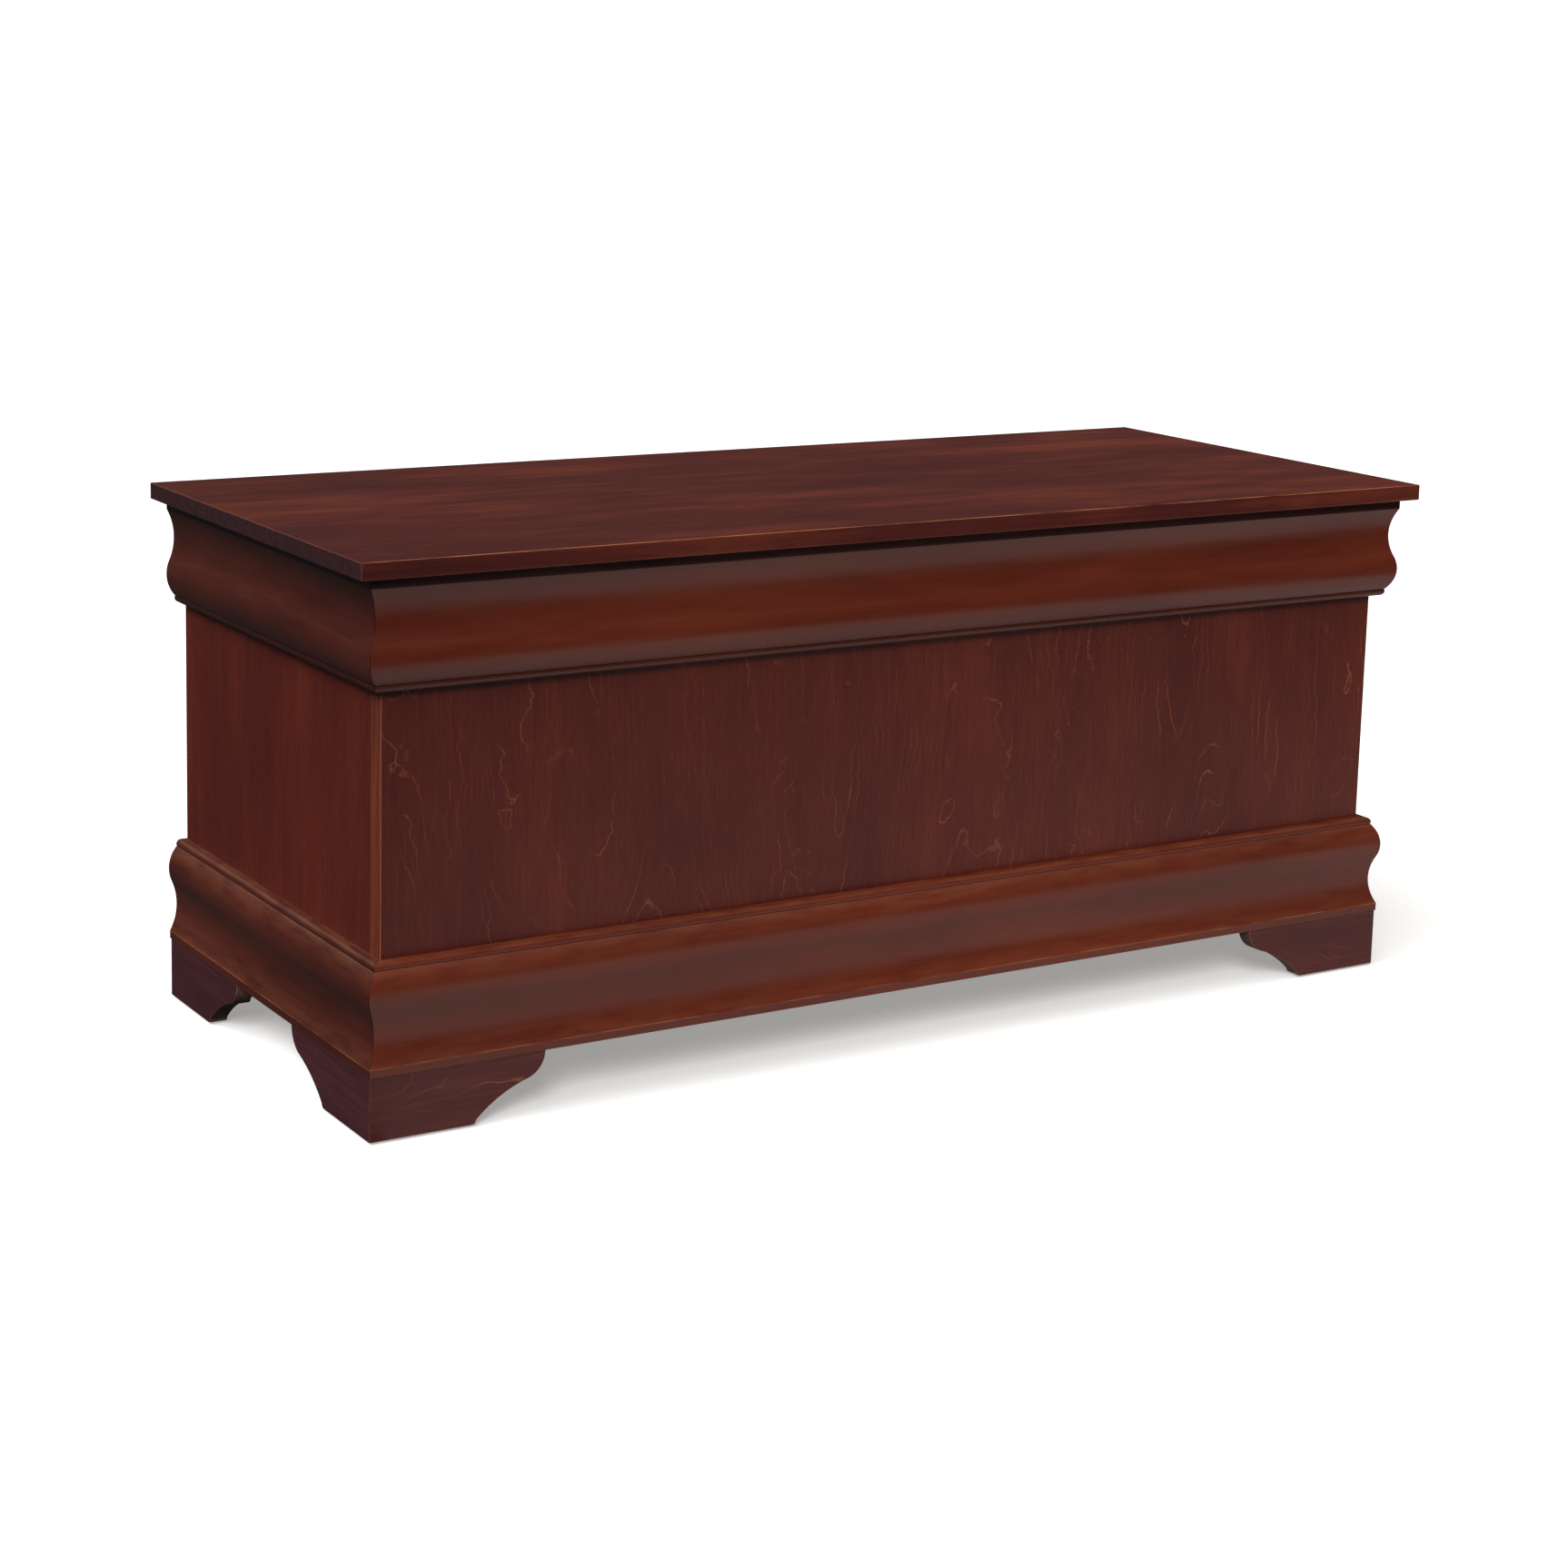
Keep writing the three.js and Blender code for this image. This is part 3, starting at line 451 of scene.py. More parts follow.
def lid_end(colours):
    """End grain of the lid, which drinks the stain and so is darker; its purple tint is a painted
    reflection of the pale backdrop.
    """
    wood = Wood(
        tones(colours, "end"), mottle=(12, 12), streak=(3, 3), mottle_share=0.5,
        pore_share=0.35, roughness=0.5, gloss=0.35, rubbed_and_lit=(0.35, 0.6),
    )
    return stained_wood("Stained cherry end grain, satin lacquer", Z, wood, colours)


def panel_veneer(colours, along, figured):
    """Cherry veneer, stained: straight grain, and on the front fine pale lines of figure."""
    wood = Wood(
        tones(colours, "panel"), mottle=(95, 380), streak=(2.2, 80), mottle_share=0.66,
        pore_share=0.24, roughness=0.42, gloss=0.33, rubbed_and_lit=(0.3, 0.55), figured=figured,
    )
    cut = "figured" if figured else f"plain, grain {'XYZ'[along]}"
    return stained_wood(f"Stained cherry veneer, {cut}", along, wood, colours)


def lipping_wood(colours):
    """Solid poplar lipping, which takes the stain paler and more orange than veneer does."""
    wood = Wood(
        tones(colours, "lipping"), mottle=(30, 200), streak=(2.2, 90), mottle_share=0.4,
        pore_share=0.2, roughness=0.42, gloss=0.35, rubbed_and_lit=(0.25, 0.5),
    )
    return stained_wood("Stained solid poplar, satin lacquer", Z, wood, colours)


def moulding_wood(colours, along):
    """Poplar run through a moulder and sealed twice: mottled and glossier; the side runs' darker
    tones are painted shade.
    """
    wood = Wood(
        tones(colours, "moulding" if along == X else "return"), mottle=(70, 320),
        streak=(9, 70), mottle_share=0.7, pore_share=0.08, roughness=0.3, gloss=0.45,
        rubbed_and_lit=(0.35, 0.6),
    )
    name = f"Stained poplar, machine moulded, satin lacquer, grain {'XYZ'[along]}"
    return stained_wood(name, along, wood, colours)


def foot_wood(colours, along):
    """Dark stained birch veneer: quiet grain, with a few pale lines of figure in front; the side
    plates' darker, more purple tones are painted shade and painted reflection.
    """
    wood = Wood(
        tones(colours, "foot" if along == X else "side_foot"), mottle=(60, 200),
        streak=(3.5, 110), mottle_share=0.5, pore_share=0.15, roughness=0.42, gloss=0.35,
        rubbed_and_lit=(0.3, 0.55), figured=along == X,
    )
    name = f"Stained birch veneer, satin lacquer, grain {'XYZ'[along]}"
    return stained_wood(name, along, wood, colours)


def sawn_edge(colours):
    """Sawn edge of the ply feet: thin grey-brown stain over plies that run upright."""
    wood = Wood(
        tones(colours, "sawn"), mottle=(16, 30), streak=(2.4, 60), mottle_share=0.5,
        pore_share=0.3, roughness=0.6, gloss=0.35, rubbed_and_lit=(0.3, 0.6),
    )
    return stained_wood("Band-sawn birch ply edge, thin stain", Z, wood, colours)


def inner_wood(colours, along):
    """Thinly stained pine under a matt sealer: plain, paler, clear grain."""
    wood = Wood(
        tones(colours, "inner"), mottle=(40, 300), streak=(4, 200), mottle_share=0.4,
        pore_share=0.2, roughness=0.55, gloss=0.35, rubbed_and_lit=(0.3, 0.6),
    )
    name = f"Planed pine, matt sealer, grain {'XYZ'[along]}"
    return stained_wood(name, along, wood, colours)


def plated_metal(name, bright, dull, patch, roughness):
    """Plated sheet metal: a bright coat with duller patches, patch mm wide, and fine scratches."""
    if name in bpy.data.materials:
        return bpy.data.materials[name]
    material, tree, shader, place = blank(name)
    film = grain_layer(tree, place, X, (patch, patch), 4.0)
    scratches = grain_layer(tree, place, X, (0.5, 9), 2.0)
    clouded = add(tree, "ShaderNodeMapRange", inputs={
        "Value": film, "From Min": 0.42, "From Max": 0.68,
    })
    coat = add(tree, "ShaderNodeMix", {"data_type": "RGBA"}, {
        0: clouded.outputs["Result"], 6: bright, 7: dull,
    })
    sheen = add(tree, "ShaderNodeMapRange", inputs={
        "Value": scratches, "From Min": 0.3, "From Max": 0.7,
        "To Min": roughness - 0.07, "To Max": roughness + 0.1,
    })
    relief = add(tree, "ShaderNodeBump", inputs={
        "Strength": 0.2, "Distance": 0.03 * MM, "Height": scratches,
    })
    tree.links.new(coat.outputs[2], shader.inputs["Base Color"])
    tree.links.new(sheen.outputs["Result"], shader.inputs["Roughness"])
    tree.links.new(relief.outputs["Normal"], shader.inputs["Normal"])
    shader.inputs["Metallic"].default_value = 1.0
    return material


def brass(colours):
    """Antique brass plate: warm metal with a brown film in the hollows of the sheet."""
    name = "Pressed brass sheet, antique finish"
    return plated_metal(name, colours.brass, colours.brass_tarnish, 7, 0.34)


def steel(colours):
    """Zinc-plated steel: cool grey with the spangle of the plating."""
    name = "Stamped steel, zinc plated"
    return plated_metal(name, colours.steel, colours.steel_dull, 4, 0.38)


def nylon(colours):
    """Black nylon of the glides, with a satin grit."""
    return moulded("Moulded black nylon", colours.nylon, 0.8, 0.5)


def rubber(colours):
    """Grey rubber of the bumpers, finer in its grit and matt."""
    return moulded("Moulded grey rubber", colours.rubber, 0.6, 0.75)


def moulded(name, tint, grit, roughness):
    """A moulded plastic or rubber with a fine grit, grit mm wide, from its mould."""
    if name in bpy.data.materials:
        return bpy.data.materials[name]
    material, tree, shader, place = blank(name)
    speck = grain_layer(tree, place, X, (grit, grit), 2.0)
    dust = add(tree, "ShaderNodeMapRange", inputs={
        "Value": speck, "From Min": 0.3, "From Max": 0.7, "To Min": 0.75, "To Max": 1.3,
    })
    tinted = add(tree, "ShaderNodeVectorMath", {"operation": "SCALE"}, {
        0: tint[:3], "Scale": dust.outputs["Result"],
    })
    relief = add(tree, "ShaderNodeBump", inputs={
        "Strength": 0.4, "Distance": 0.05 * MM, "Height": speck,
    })
    tree.links.new(tinted.outputs["Vector"], shader.inputs["Base Color"])
    tree.links.new(relief.outputs["Normal"], shader.inputs["Normal"])
    shader.inputs["Roughness"].default_value = roughness
    return material


def painted(tint, glow):
    """Matt white paint for the studio, faintly uneven, that can shine a little by itself."""
    material, tree, shader, place = blank("Rolled matt emulsion paint")
    rolled = add(tree, "ShaderNodeMapRange", inputs={
        "Value": grain_layer(tree, place, X, (40, 40), 2.0), "To Min": 0.98, "To Max": 1.0,
    })
    tinted = add(tree, "ShaderNodeVectorMath", {"operation": "SCALE"}, {
        0: tint[:3], "Scale": rolled.outputs["Result"],
    })
    tree.links.new(tinted.outputs["Vector"], shader.inputs["Base Color"])
    shader.inputs["Roughness"].default_value = 0.95
    shader.inputs["Emission Color"].default_value = tint
    shader.inputs["Emission Strength"].default_value = glow
    return material


# ---------------------------------------------------------------- mesh helpers

def new_mesh():
    """An empty mesh whose faces carry wear with painted light, and painted shade."""
    bm = bmesh.new()
    bm.faces.layers.float.new("wear")
    bm.faces.layers.float.new("glaze")
    return bm


def board_mesh(low, high):
    """A board between two corners."""
    bm = new_mesh()
    size = Matrix.Diagonal(high - low).to_4x4()
    bmesh.ops.create_cube(bm, size=1.0, matrix=Matrix.Translation((low + high) / 2) @ size)
    return bm


def ease(bm, edges, radius, wear, segments=3):
    """Rounds edges over and marks the new faces as worn."""
    made = bmesh.ops.bevel(
        bm, geom=edges, offset=radius, offset_type="OFFSET", segments=segments, profile=0.5,
        affect="EDGES", material=-1, clamp_overlap=True,
    )
    layer = bm.faces.layers.float["wear"]
    for face in made["faces"]:
        face[layer] = wear


def only(kind, geometry):
    """The vertices, or the edges, among what an operator made."""
    return [element for element in geometry if isinstance(element, kind)]


def middle(edge):
    """The middle point of an edge."""
    return (edge.verts[0].co + edge.verts[1].co) / 2


def runs(edge, axis):
    """True if an edge runs along an axis."""
    along = edge.verts[1].co - edge.verts[0].co
    return abs(along[axis]) > 0.99 * along.length


def sharp_edges(bm, degrees=35):
    """The outward edges where two faces meet at more than an angle."""
    limit = math.radians(degrees)
    return [e for e in bm.edges if e.is_manifold and e.is_convex and e.calc_face_angle() > limit]


class Outline:
    """Draws a flat outline by extruding and spinning its last point."""

    def __init__(self, bm, x, y):
        self.bm = bm
        self.first = bm.verts.new((x, y, 0.0))
        self.last = self.first

    def line(self, x, y):
        """Goes on straight to a point."""
        made = bmesh.ops.extrude_vert_indiv(self.bm, verts=[self.last])
        self.last = made["verts"][0]
        self.last.co = (x, y, 0.0)

    def arc(self, x, y, turn, steps):
        """Goes on round a centre by an angle in radians, anticlockwise if it is positive."""
        made = bmesh.ops.spin(
            self.bm, geom=[self.last], cent=(x, y, 0.0), axis=(0.0, 0.0, 1.0),
            dvec=(0.0, 0.0, 0.0), angle=turn, steps=steps, use_duplicate=False,
        )
        self.last = only(BMVert, made["geom_last"])[0]

    def fill(self):
        """Closes the outline and makes it a face."""
        self.bm.edges.new((self.last, self.first))
        bmesh.ops.remove_doubles(self.bm, verts=self.bm.verts[:], dist=ONE_POINT)
        bmesh.ops.edgeloop_fill(self.bm, edges=self.bm.edges[:])


def extrude(bm, start, end):
    """Makes the drawn face a solid from one depth to another."""
    bmesh.ops.translate(bm, verts=bm.verts[:], vec=(0.0, 0.0, start))
    made = bmesh.ops.extrude_face_region(bm, geom=bm.faces[:])
    bmesh.ops.translate(bm, verts=only(BMVert, made["geom"]), vec=(0.0, 0.0, end - start))
    bmesh.ops.recalc_face_normals(bm, faces=bm.faces[:])


def cut(bm, point, outward):
    """Cuts off what lies beyond a plane and closes the cut."""
    made = bmesh.ops.bisect_plane(
        bm, geom=bm.verts[:] + bm.edges[:] + bm.faces[:], dist=0.0001 * MM,
        plane_co=point, plane_no=outward, clear_outer=True,
    )
    bmesh.ops.edgeloop_fill(bm, edges=only(BMEdge, made["geom_cut"]))
    bmesh.ops.recalc_face_normals(bm, faces=bm.faces[:])


def stand(bm, right, up, out, origin):
    """Moves what was drawn flat to where its right, up and depth point in the frame."""
    place = Matrix((right, up, out)).transposed().to_4x4()
    place.translation = origin
    bmesh.ops.transform(bm, matrix=place, verts=bm.verts[:])
    bmesh.ops.recalc_face_normals(bm, faces=bm.faces[:])


def turned(bm, profile, axis_point, axis, steps=40):
    """Spins a profile of (radius, height) points about an axis into a closed solid."""
    towards = Vector(axis)
    out = towards.orthogonal().normalized()
    points = [Vector(axis_point) + out * r + towards * h for r, h in profile]
    chain = [bm.verts.new(p) for p in points]
    edges = [bm.edges.new(pair) for pair in zip(chain, chain[1:])]
    bmesh.ops.spin(
        bm, geom=chain + edges, cent=axis_point, axis=axis, dvec=(0.0, 0.0, 0.0),
        angle=2 * math.pi, steps=steps, use_merge=True, use_duplicate=False,
    )
    bmesh.ops.remove_doubles(bm, verts=bm.verts[:], dist=ONE_POINT)
    bmesh.ops.recalc_face_normals(bm, faces=bm.faces[:])


def rounded(radius, low, high, low_round, high_round, steps=5):
    """The profile of a disc or pin from axis to axis, with rounded lower and upper rims."""
    turns = [math.pi / 2 * i / steps for i in range(steps + 1)]
    lower = [(radius - low_round * (1 - math.sin(a)), low + low_round * (1 - math.cos(a)))
             for a in turns]
    upper = [(radius - high_round * (1 - math.cos(a)), high - high_round * (1 - math.sin(a)))
             for a in turns]
    return [(0.0, low)] + lower + upper + [(0.0, high)]


def in_row(point, axis, step, places):
    """Points along an axis, each some steps away from the given one."""
    way = Vector()
    way[axis] = step
    return [point + way * place for place in places]


def finish_piece(bm, name, like, materials, replaces=()):
    """Makes the mesh a piece that moves like a CAD node."""
    mesh = bpy.data.meshes.new(name)
    bm.to_mesh(mesh)
    bm.free()
    mesh.shade_smooth()
    mesh.set_sharp_from_angle(angle=math.radians(50))
    for material in materials:
        mesh.materials.append(material)
    piece = bpy.data.objects.new(name, mesh)
    bpy.context.scene.collection.objects.link(piece)
    normals = piece.modifiers.new("Weighted normals", "WEIGHTED_NORMAL")
    normals.keep_sharp = True
    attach(piece, BODY_OF[like])
    if replaces:
        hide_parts(*replaces)


def board(node, material, radius, wear):
    """A board in place of a CAD node, with all its edges eased."""
    bm = board_mesh(*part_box(node))
    ease(bm, bm.edges[:], radius, wear)
    finish_piece(bm, f"{node}_board", node, [material], [node])


def eased_copy(node, material, radius):
    """A fitting in place of a CAD node: its solid with flat faces joined and edges deburred."""
    bm = new_mesh()
    bm.from_mesh(frame["nodes"][node].data)
    bmesh.ops.remove_doubles(bm, verts=bm.verts[:], dist=0.01 * MM)
    bmesh.ops.dissolve_limit(
        bm, angle_limit=math.radians(1), use_dissolve_boundaries=False,
        verts=bm.verts[:], edges=bm.edges[:],
    )
    bmesh.ops.recalc_face_normals(bm, faces=bm.faces[:])
    ease(bm, sharp_edges(bm), radius, 0.0, 2)
    finish_piece(bm, f"{node}_fine", node, [material], [node])


def button(name, node, low_round, high_round, material):
    """A round pad in place of a CAD node, each rim rounded by a share of the pad's height."""
    low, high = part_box(node)
    centre, height = (low + high) / 2, high.z - low.z
    profile = rounded(high.x - centre.x, low.z, high.z, height * low_round, height * high_round)
    bm = new_mesh()
    turned(bm, profile, (centre.x, centre.y, 0.0), (0, 0, 1))
    finish_piece(bm, name, node, [material], [node])


def screw_head(radius, recess, depth):
    """A countersunk screw head with a cross recess, its flat top at the origin facing up."""
    head = bmesh.new()
    bmesh.ops.create_circle(head, cap_ends=False, radius=radius, segments=24)
    rim = head.edges[:]
    half, arm = recess / 2, radius * 0.55
    corners = [(half, half), (half, arm), (-half, arm)]
    for _ in range(3):
        corners += [(-y, x) for x, y in corners[-3:]]
    cross = Outline(head, *corners[0])
    for corner in corners[1:]:
        cross.line(*corner)
    head.edges.new((cross.last, cross.first))
    slot_rim = [e for e in head.edges if e not in rim]
    bmesh.ops.triangle_fill(head, edges=head.edges[:], use_beauty=True)
    for edges, share_kept, sink in ((slot_rim, 0.6, 0.6 * depth), (rim, 0.45, depth)):
        made = bmesh.ops.extrude_edge_only(head, edges=edges)["geom"]
        lower = only(BMVert, made)
        bmesh.ops.scale(head, vec=(share_kept, share_kept, 1.0), verts=lower)
        bmesh.ops.translate(head, vec=(0.0, 0.0, -sink), verts=lower)
        sunk = [e for e in only(BMEdge, made) if all(v in lower for v in e.verts)]
        bmesh.ops.edgeloop_fill(head, edges=sunk)
    bmesh.ops.recalc_face_normals(head, faces=head.faces[:])
    return head


def screws(name, like, points, outward, radius, fittings, material):
    """A set of screws that holds one piece, with the flat tops of their heads at the points."""
    recess = fittings.recess_width * radius / fittings.screw_radius
    turn = Vector(outward).to_track_quat("Z", "X").to_matrix().to_4x4()
    bm = new_mesh()
    for point in points:
        head = screw_head(radius, recess, fittings.screw_depth)
        bmesh.ops.transform(head, matrix=Matrix.Translation(point) @ turn, verts=head.verts[:])
        spare = bpy.data.meshes.new("screw")
        head.to_mesh(spare)
        head.free()
        bm.from_mesh(spare)
        bpy.data.meshes.remove(spare)
    finish_piece(bm, name, like, [material])


def disc(name, radius, centre, material):
    """A flat disc of the stage."""
    bm = bmesh.new()
    bmesh.ops.create_circle(bm, cap_ends=True, radius=radius, segments=96)
    bmesh.ops.translate(bm, verts=bm.verts[:], vec=centre)
    mesh = bpy.data.meshes.new(name)
    bm.to_mesh(mesh)
    bm.free()
    mesh.materials.append(material)
    flat = bpy.data.objects.new(name, mesh)
    bpy.context.scene.collection.objects.link(flat)
    return flat


# ---------------------------------------------------------------- operators

def front_arris(edges, top):
    """The upper front edge of the lid, which hands lift it by and so rub the most."""
    return [e for e in edges if runs(e, X) and middle(e).z > top - MM and middle(e).y < 0]


class CHEST_OT_lid(Operator):
    """Make the lid board and the two battens under it"""
    bl_idname = "chest.lid"
    bl_label = "Lid"

    def slab(self, scene):
        """The lid board, with its end grain to the left and right."""
        sizes, wear, colours = scene.chest_boards, scene.chest_wear, scene.chest_colours
        low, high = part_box("lid_panel")
        bm = board_mesh(low, high)
        for face in bm.faces:
            if abs(face.normal.x) > 0.99:
                face.material_index = 1
        front = front_arris(bm.edges, high.z)
        ease(bm, [e for e in bm.edges if e not in front], sizes.lid_arris, wear.lid_edges)
        front = front_arris(sharp_edges(bm), high.z)
        ease(bm, front, sizes.lid_front_arris, wear.lid_front)
        woods = [lid_veneer(colours), lid_end(colours)]
        finish_piece(bm, "lid_board", "lid_panel", woods, ["lid_panel"])

    def batten(self, scene, node):
        """A batten under the lid, held by three screws."""
        sizes, fittings, colours = scene.chest_boards, scene.chest_fittings, scene.chest_colours
        low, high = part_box(node)
        bm = board_mesh(low, high)
        lower = [e for e in bm.edges if middle(e).z < high.z - MM]
        ease(bm, lower, sizes.batten_arris, scene.chest_wear.inner_edges, 4)
        finish_piece(bm, f"{node}_board", node, [inner_wood(colours, Y)], [node])
        centre = (low + high) / 2
        centre.z = low.z - fittings.wood_proud
        points = in_row(centre, Y, (high.y - low.y) * fittings.batten_spread, (-1, 0, 1))
        screws(f"{node}_screws", node, points, (0, 0, -1), fittings.wood_screw_radius,
               fittings, steel(colours))

    def execute(self, context):
        self.slab(context.scene)
        for side, _ in SIDES:
            self.batten(context.scene, f"lid_batten_{side}")
        return {"FINISHED"}


class CHEST_OT_case(Operator):
    """Make the front, sides and back of the case with their lippings and the hinge rail"""
    bl_idname = "chest.case"
    bl_label = "Case"

    def front(self, scene):
        """The front board between its lippings, from which fine joint lines part it."""
        sizes, colours = scene.chest_boards, scene.chest_colours
        low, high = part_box("front_panel")
        high.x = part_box("front_lipping_right")[0].x - sizes.joint_gap / 2
        low.x = -high.x
        bm = board_mesh(low, high)
        long_edges = [e for e in bm.edges if runs(e, X)]
        ease(bm, long_edges, sizes.case_arris, scene.chest_wear.front_edges)
        veneer = panel_veneer(colours, Z, True)
        finish_piece(bm, "front_panel_board", "front_panel", [veneer], ["front_panel"])

    def lipping(self, scene, node, sign):
        """A solid strip at one end of the front board."""
        colours = scene.chest_colours
        low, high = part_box(node)
        bm = board_mesh(low, high)
        outer = sign * CASE_HALF_WIDTH
        corner = [e for e in bm.edges if runs(e, Z) and abs(middle(e).x - outer) < MM
                  and middle(e).y < low.y + MM]
        ease(bm, corner, scene.chest_boards.case_arris, scene.chest_wear.corner)
        # The front veneer runs over the lipping, so only the end of the board shows it.
        for face in bm.faces:
            face.material_index = 0 if abs(face.normal.y) < 0.99 else 1
        woods = [lipping_wood(colours), panel_veneer(colours, Z, True)]
        finish_piece(bm, f"{node}_strip", node, woods, [node])

    def execute(self, context):
        scene = context.scene
        sizes, wear, colours = scene.chest_boards, scene.chest_wear, scene.chest_colours
        self.front(scene)
        for side, sign in SIDES:
            self.lipping(scene, f"front_lipping_{side}", sign)
            veneer = panel_veneer(colours, Z, False)
            board(f"side_panel_{side}", veneer, sizes.side_arris, wear.side_edges)
        veneer = panel_veneer(colours, X, False)
        board("back_panel", veneer, sizes.inner_arris, wear.hidden_edges)
        board("hinge_rail", inner_wood(colours, X), sizes.inner_arris, wear.inner_edges)
        return {"FINISHED"}


class CHEST_OT_inside(Operator):
    """Make the bottom board and the four cleats that carry it"""
    bl_idname = "chest.inside"
    bl_label = "Bottom and cleats"

    def execute(self, context):
        scene = context.scene
        arris = scene.chest_boards.inner_arris
        wear, colours = scene.chest_wear, scene.chest_colours
        board("bottom_panel", inner_wood(colours, X), arris, wear.hidden_edges)
        for where, along in (("front", X), ("back", X), ("left", Y), ("right", Y)):
            board(f"floor_cleat_{where}", inner_wood(colours, along), arris, wear.inner_edges)
        return {"FINISHED"}


def draw_moulding(bm, sizes, height, depth, gap):
    """Draws the moulding's section: x is how far it stands out, y how high, from its fillet."""
    cove_y = sizes.cove_height * height
    crest_y = sizes.crest_height * height
    radii = (sizes.cove_recess ** 2 + (crest_y - cove_y) ** 2) / (2 * sizes.cove_recess)
    cove_radius = sizes.cove_share * radii
    belly_radius = radii - cove_radius
    cove_x = depth - sizes.cove_recess + cove_radius
    belly_x = depth - belly_radius
    fillet_x = cove_x - math.sqrt(cove_radius ** 2 - (cove_y - sizes.fillet_height) ** 2)
    cove_start = math.atan2(sizes.fillet_height - cove_y, fillet_x - cove_x) + 2 * math.pi
    meeting = math.atan2(crest_y - cove_y, belly_x - cove_x)
    bead_y = height - sizes.bead_height
    belly_end = math.asin((bead_y - sizes.quirk_width - crest_y) / belly_radius)
    shoulder = height - sizes.bead_radius
    outline = Outline(bm, gap, 0.0)
    outline.line(fillet_x, 0.0)
    outline.line(fillet_x, sizes.fillet_height)
    outline.arc(cove_x, cove_y, meeting - cove_start, 24)
    outline.arc(belly_x, crest_y, belly_end - (meeting - math.pi), 22)
    outline.line(sizes.bead_depth - sizes.quirk_width, bead_y - sizes.quirk_width / 2)
    outline.line(sizes.bead_depth, bead_y)
    outline.line(sizes.bead_depth, shoulder)
    outline.arc(sizes.bead_depth - sizes.bead_radius, shoulder, math.pi / 2, 8)
    outline.line(gap, height)
    outline.fill()


class Run(NamedTuple):
    """One run of a moulding: the way it stands out, the way it goes, its start and length."""
    where: str
    out: Vector
    along: Vector
    start_x: float
    length: float
    both_mitred: bool


def moulding_runs():
    """The front run, mitred at both ends, and the side runs, each mitred in front only."""
    width, depth = 2 * CASE_HALF_WIDTH, CASE_BACK - CASE_FRONT
    ahead, right, backward = Vector((0, -1, 0)), Vector((1, 0, 0)), Vector((0, 1, 0))
    made = [Run("front", ahead, right, -CASE_HALF_WIDTH, width, True)]
    for side, sign in SIDES:
        made.append(Run(side, right * sign, backward, sign * CASE_HALF_WIDTH, depth, False))
    return made


def cut_run(bm, run, depth, mitre_gap):
    """Makes the drawn section a run and cuts its mitres."""
    spare = 2 * depth
    extrude(bm, -spare, run.length + (spare if run.both_mitred else 0.0))
    cut(bm, (0, 0, mitre_gap), (-1, 0, -1))
    if run.both_mitred:
        cut(bm, (0, 0, run.length - mitre_gap), (-1, 0, 1))


def outer_edges(bm, gap):
    """The sharp edges of a run that don't lie against the case."""
    return [e for e in sharp_edges(bm, 25) if middle(e).x > 2 * gap]


def ease_run(bm, run, sizes, depth, gap, fillet_wear):
    """Eases a run's mitres and long edges, and last the edges of its fillet, with their wear."""
    fillet_top = sizes.fillet_height + 0.5 * MM
    edges = outer_edges(bm, gap)
    long_edges = [e for e in edges if runs(e, Z) and middle(e).y > fillet_top]
    mitres = [e for e in edges if not runs(e, Z) and (middle(e).z < depth or run.both_mitred)]
    ease(bm, long_edges + mitres, sizes.arris, 0.0, 2)
    fillet = [e for e in outer_edges(bm, gap) if runs(e, Z) and middle(e).y < fillet_top]
    ease(bm, fillet, sizes.arris, fillet_wear, 2)


def paint_shade_on_crown(bm, sizes, height, wear):
    """Paints shade, near-black, into the corner under the lid and along the crown's bead."""
    layer = bm.faces.layers.float["glaze"]
    for face in bm.faces:
        y = face.calc_center_median().y
        if sizes.arris < y < sizes.fillet_height:
            face[layer] = wear.corner_painted_shade
        elif y > height - sizes.bead_height - sizes.quirk_width:
            face[layer] = wear.bead_painted_shade


def paint_light_on_base_tops(bm, wear):
    """Painted light: what looks upward on the base moulding is made paler, the more so the more it
    faces up.
    """
    layer = bm.faces.layers.float["wear"]
    for face in bm.faces:
        if face.normal.y > 0 and not face[layer]:
            face[layer] = wear.upward_painted_light * face.normal.y


class CHEST_OT_mouldings(Operator):
    """Make the crown under the lid and the base moulding, each of three mitred runs"""
    bl_idname = "chest.mouldings"
    bl_label = "Mouldings"

    def moulding(self, scene, name, run, is_crown):
        """One run. The crown is the base moulding turned over, so its fillet is on top."""
        sizes, wear, gap = scene.chest_moulding, scene.chest_wear, scene.chest_boards.joint_gap
        low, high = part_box(f"{name}_front")
        height, depth = high.z - low.z, CASE_FRONT - low.y
        bm = new_mesh()
        draw_moulding(bm, sizes, height, depth, gap)
        cut_run(bm, run, depth, sizes.mitre_gap)
        ease_run(bm, run, sizes, depth, gap, 0.0 if is_crown else wear.fillet)
        if is_crown:
            paint_shade_on_crown(bm, sizes, height, wear)
            start, up = Vector((run.start_x, CASE_FRONT, high.z)), Vector((0, 0, -1))
        else:
            paint_light_on_base_tops(bm, wear)
            start, up = Vector((run.start_x, CASE_FRONT, low.z)), Vector((0, 0, 1))
        stand(bm, run.out, up, run.along, start)
        node = f"{name}_{run.where}"
        wood = moulding_wood(scene.chest_colours, X if run.both_mitred else Y)
        finish_piece(bm, f"{node}_run", node, [wood], [node])

    def execute(self, context):
        for name, is_crown in (("crown", True), ("base", False)):
            for run in moulding_runs():
                self.moulding(context.scene, name, run, is_crown)
        return {"FINISHED"}


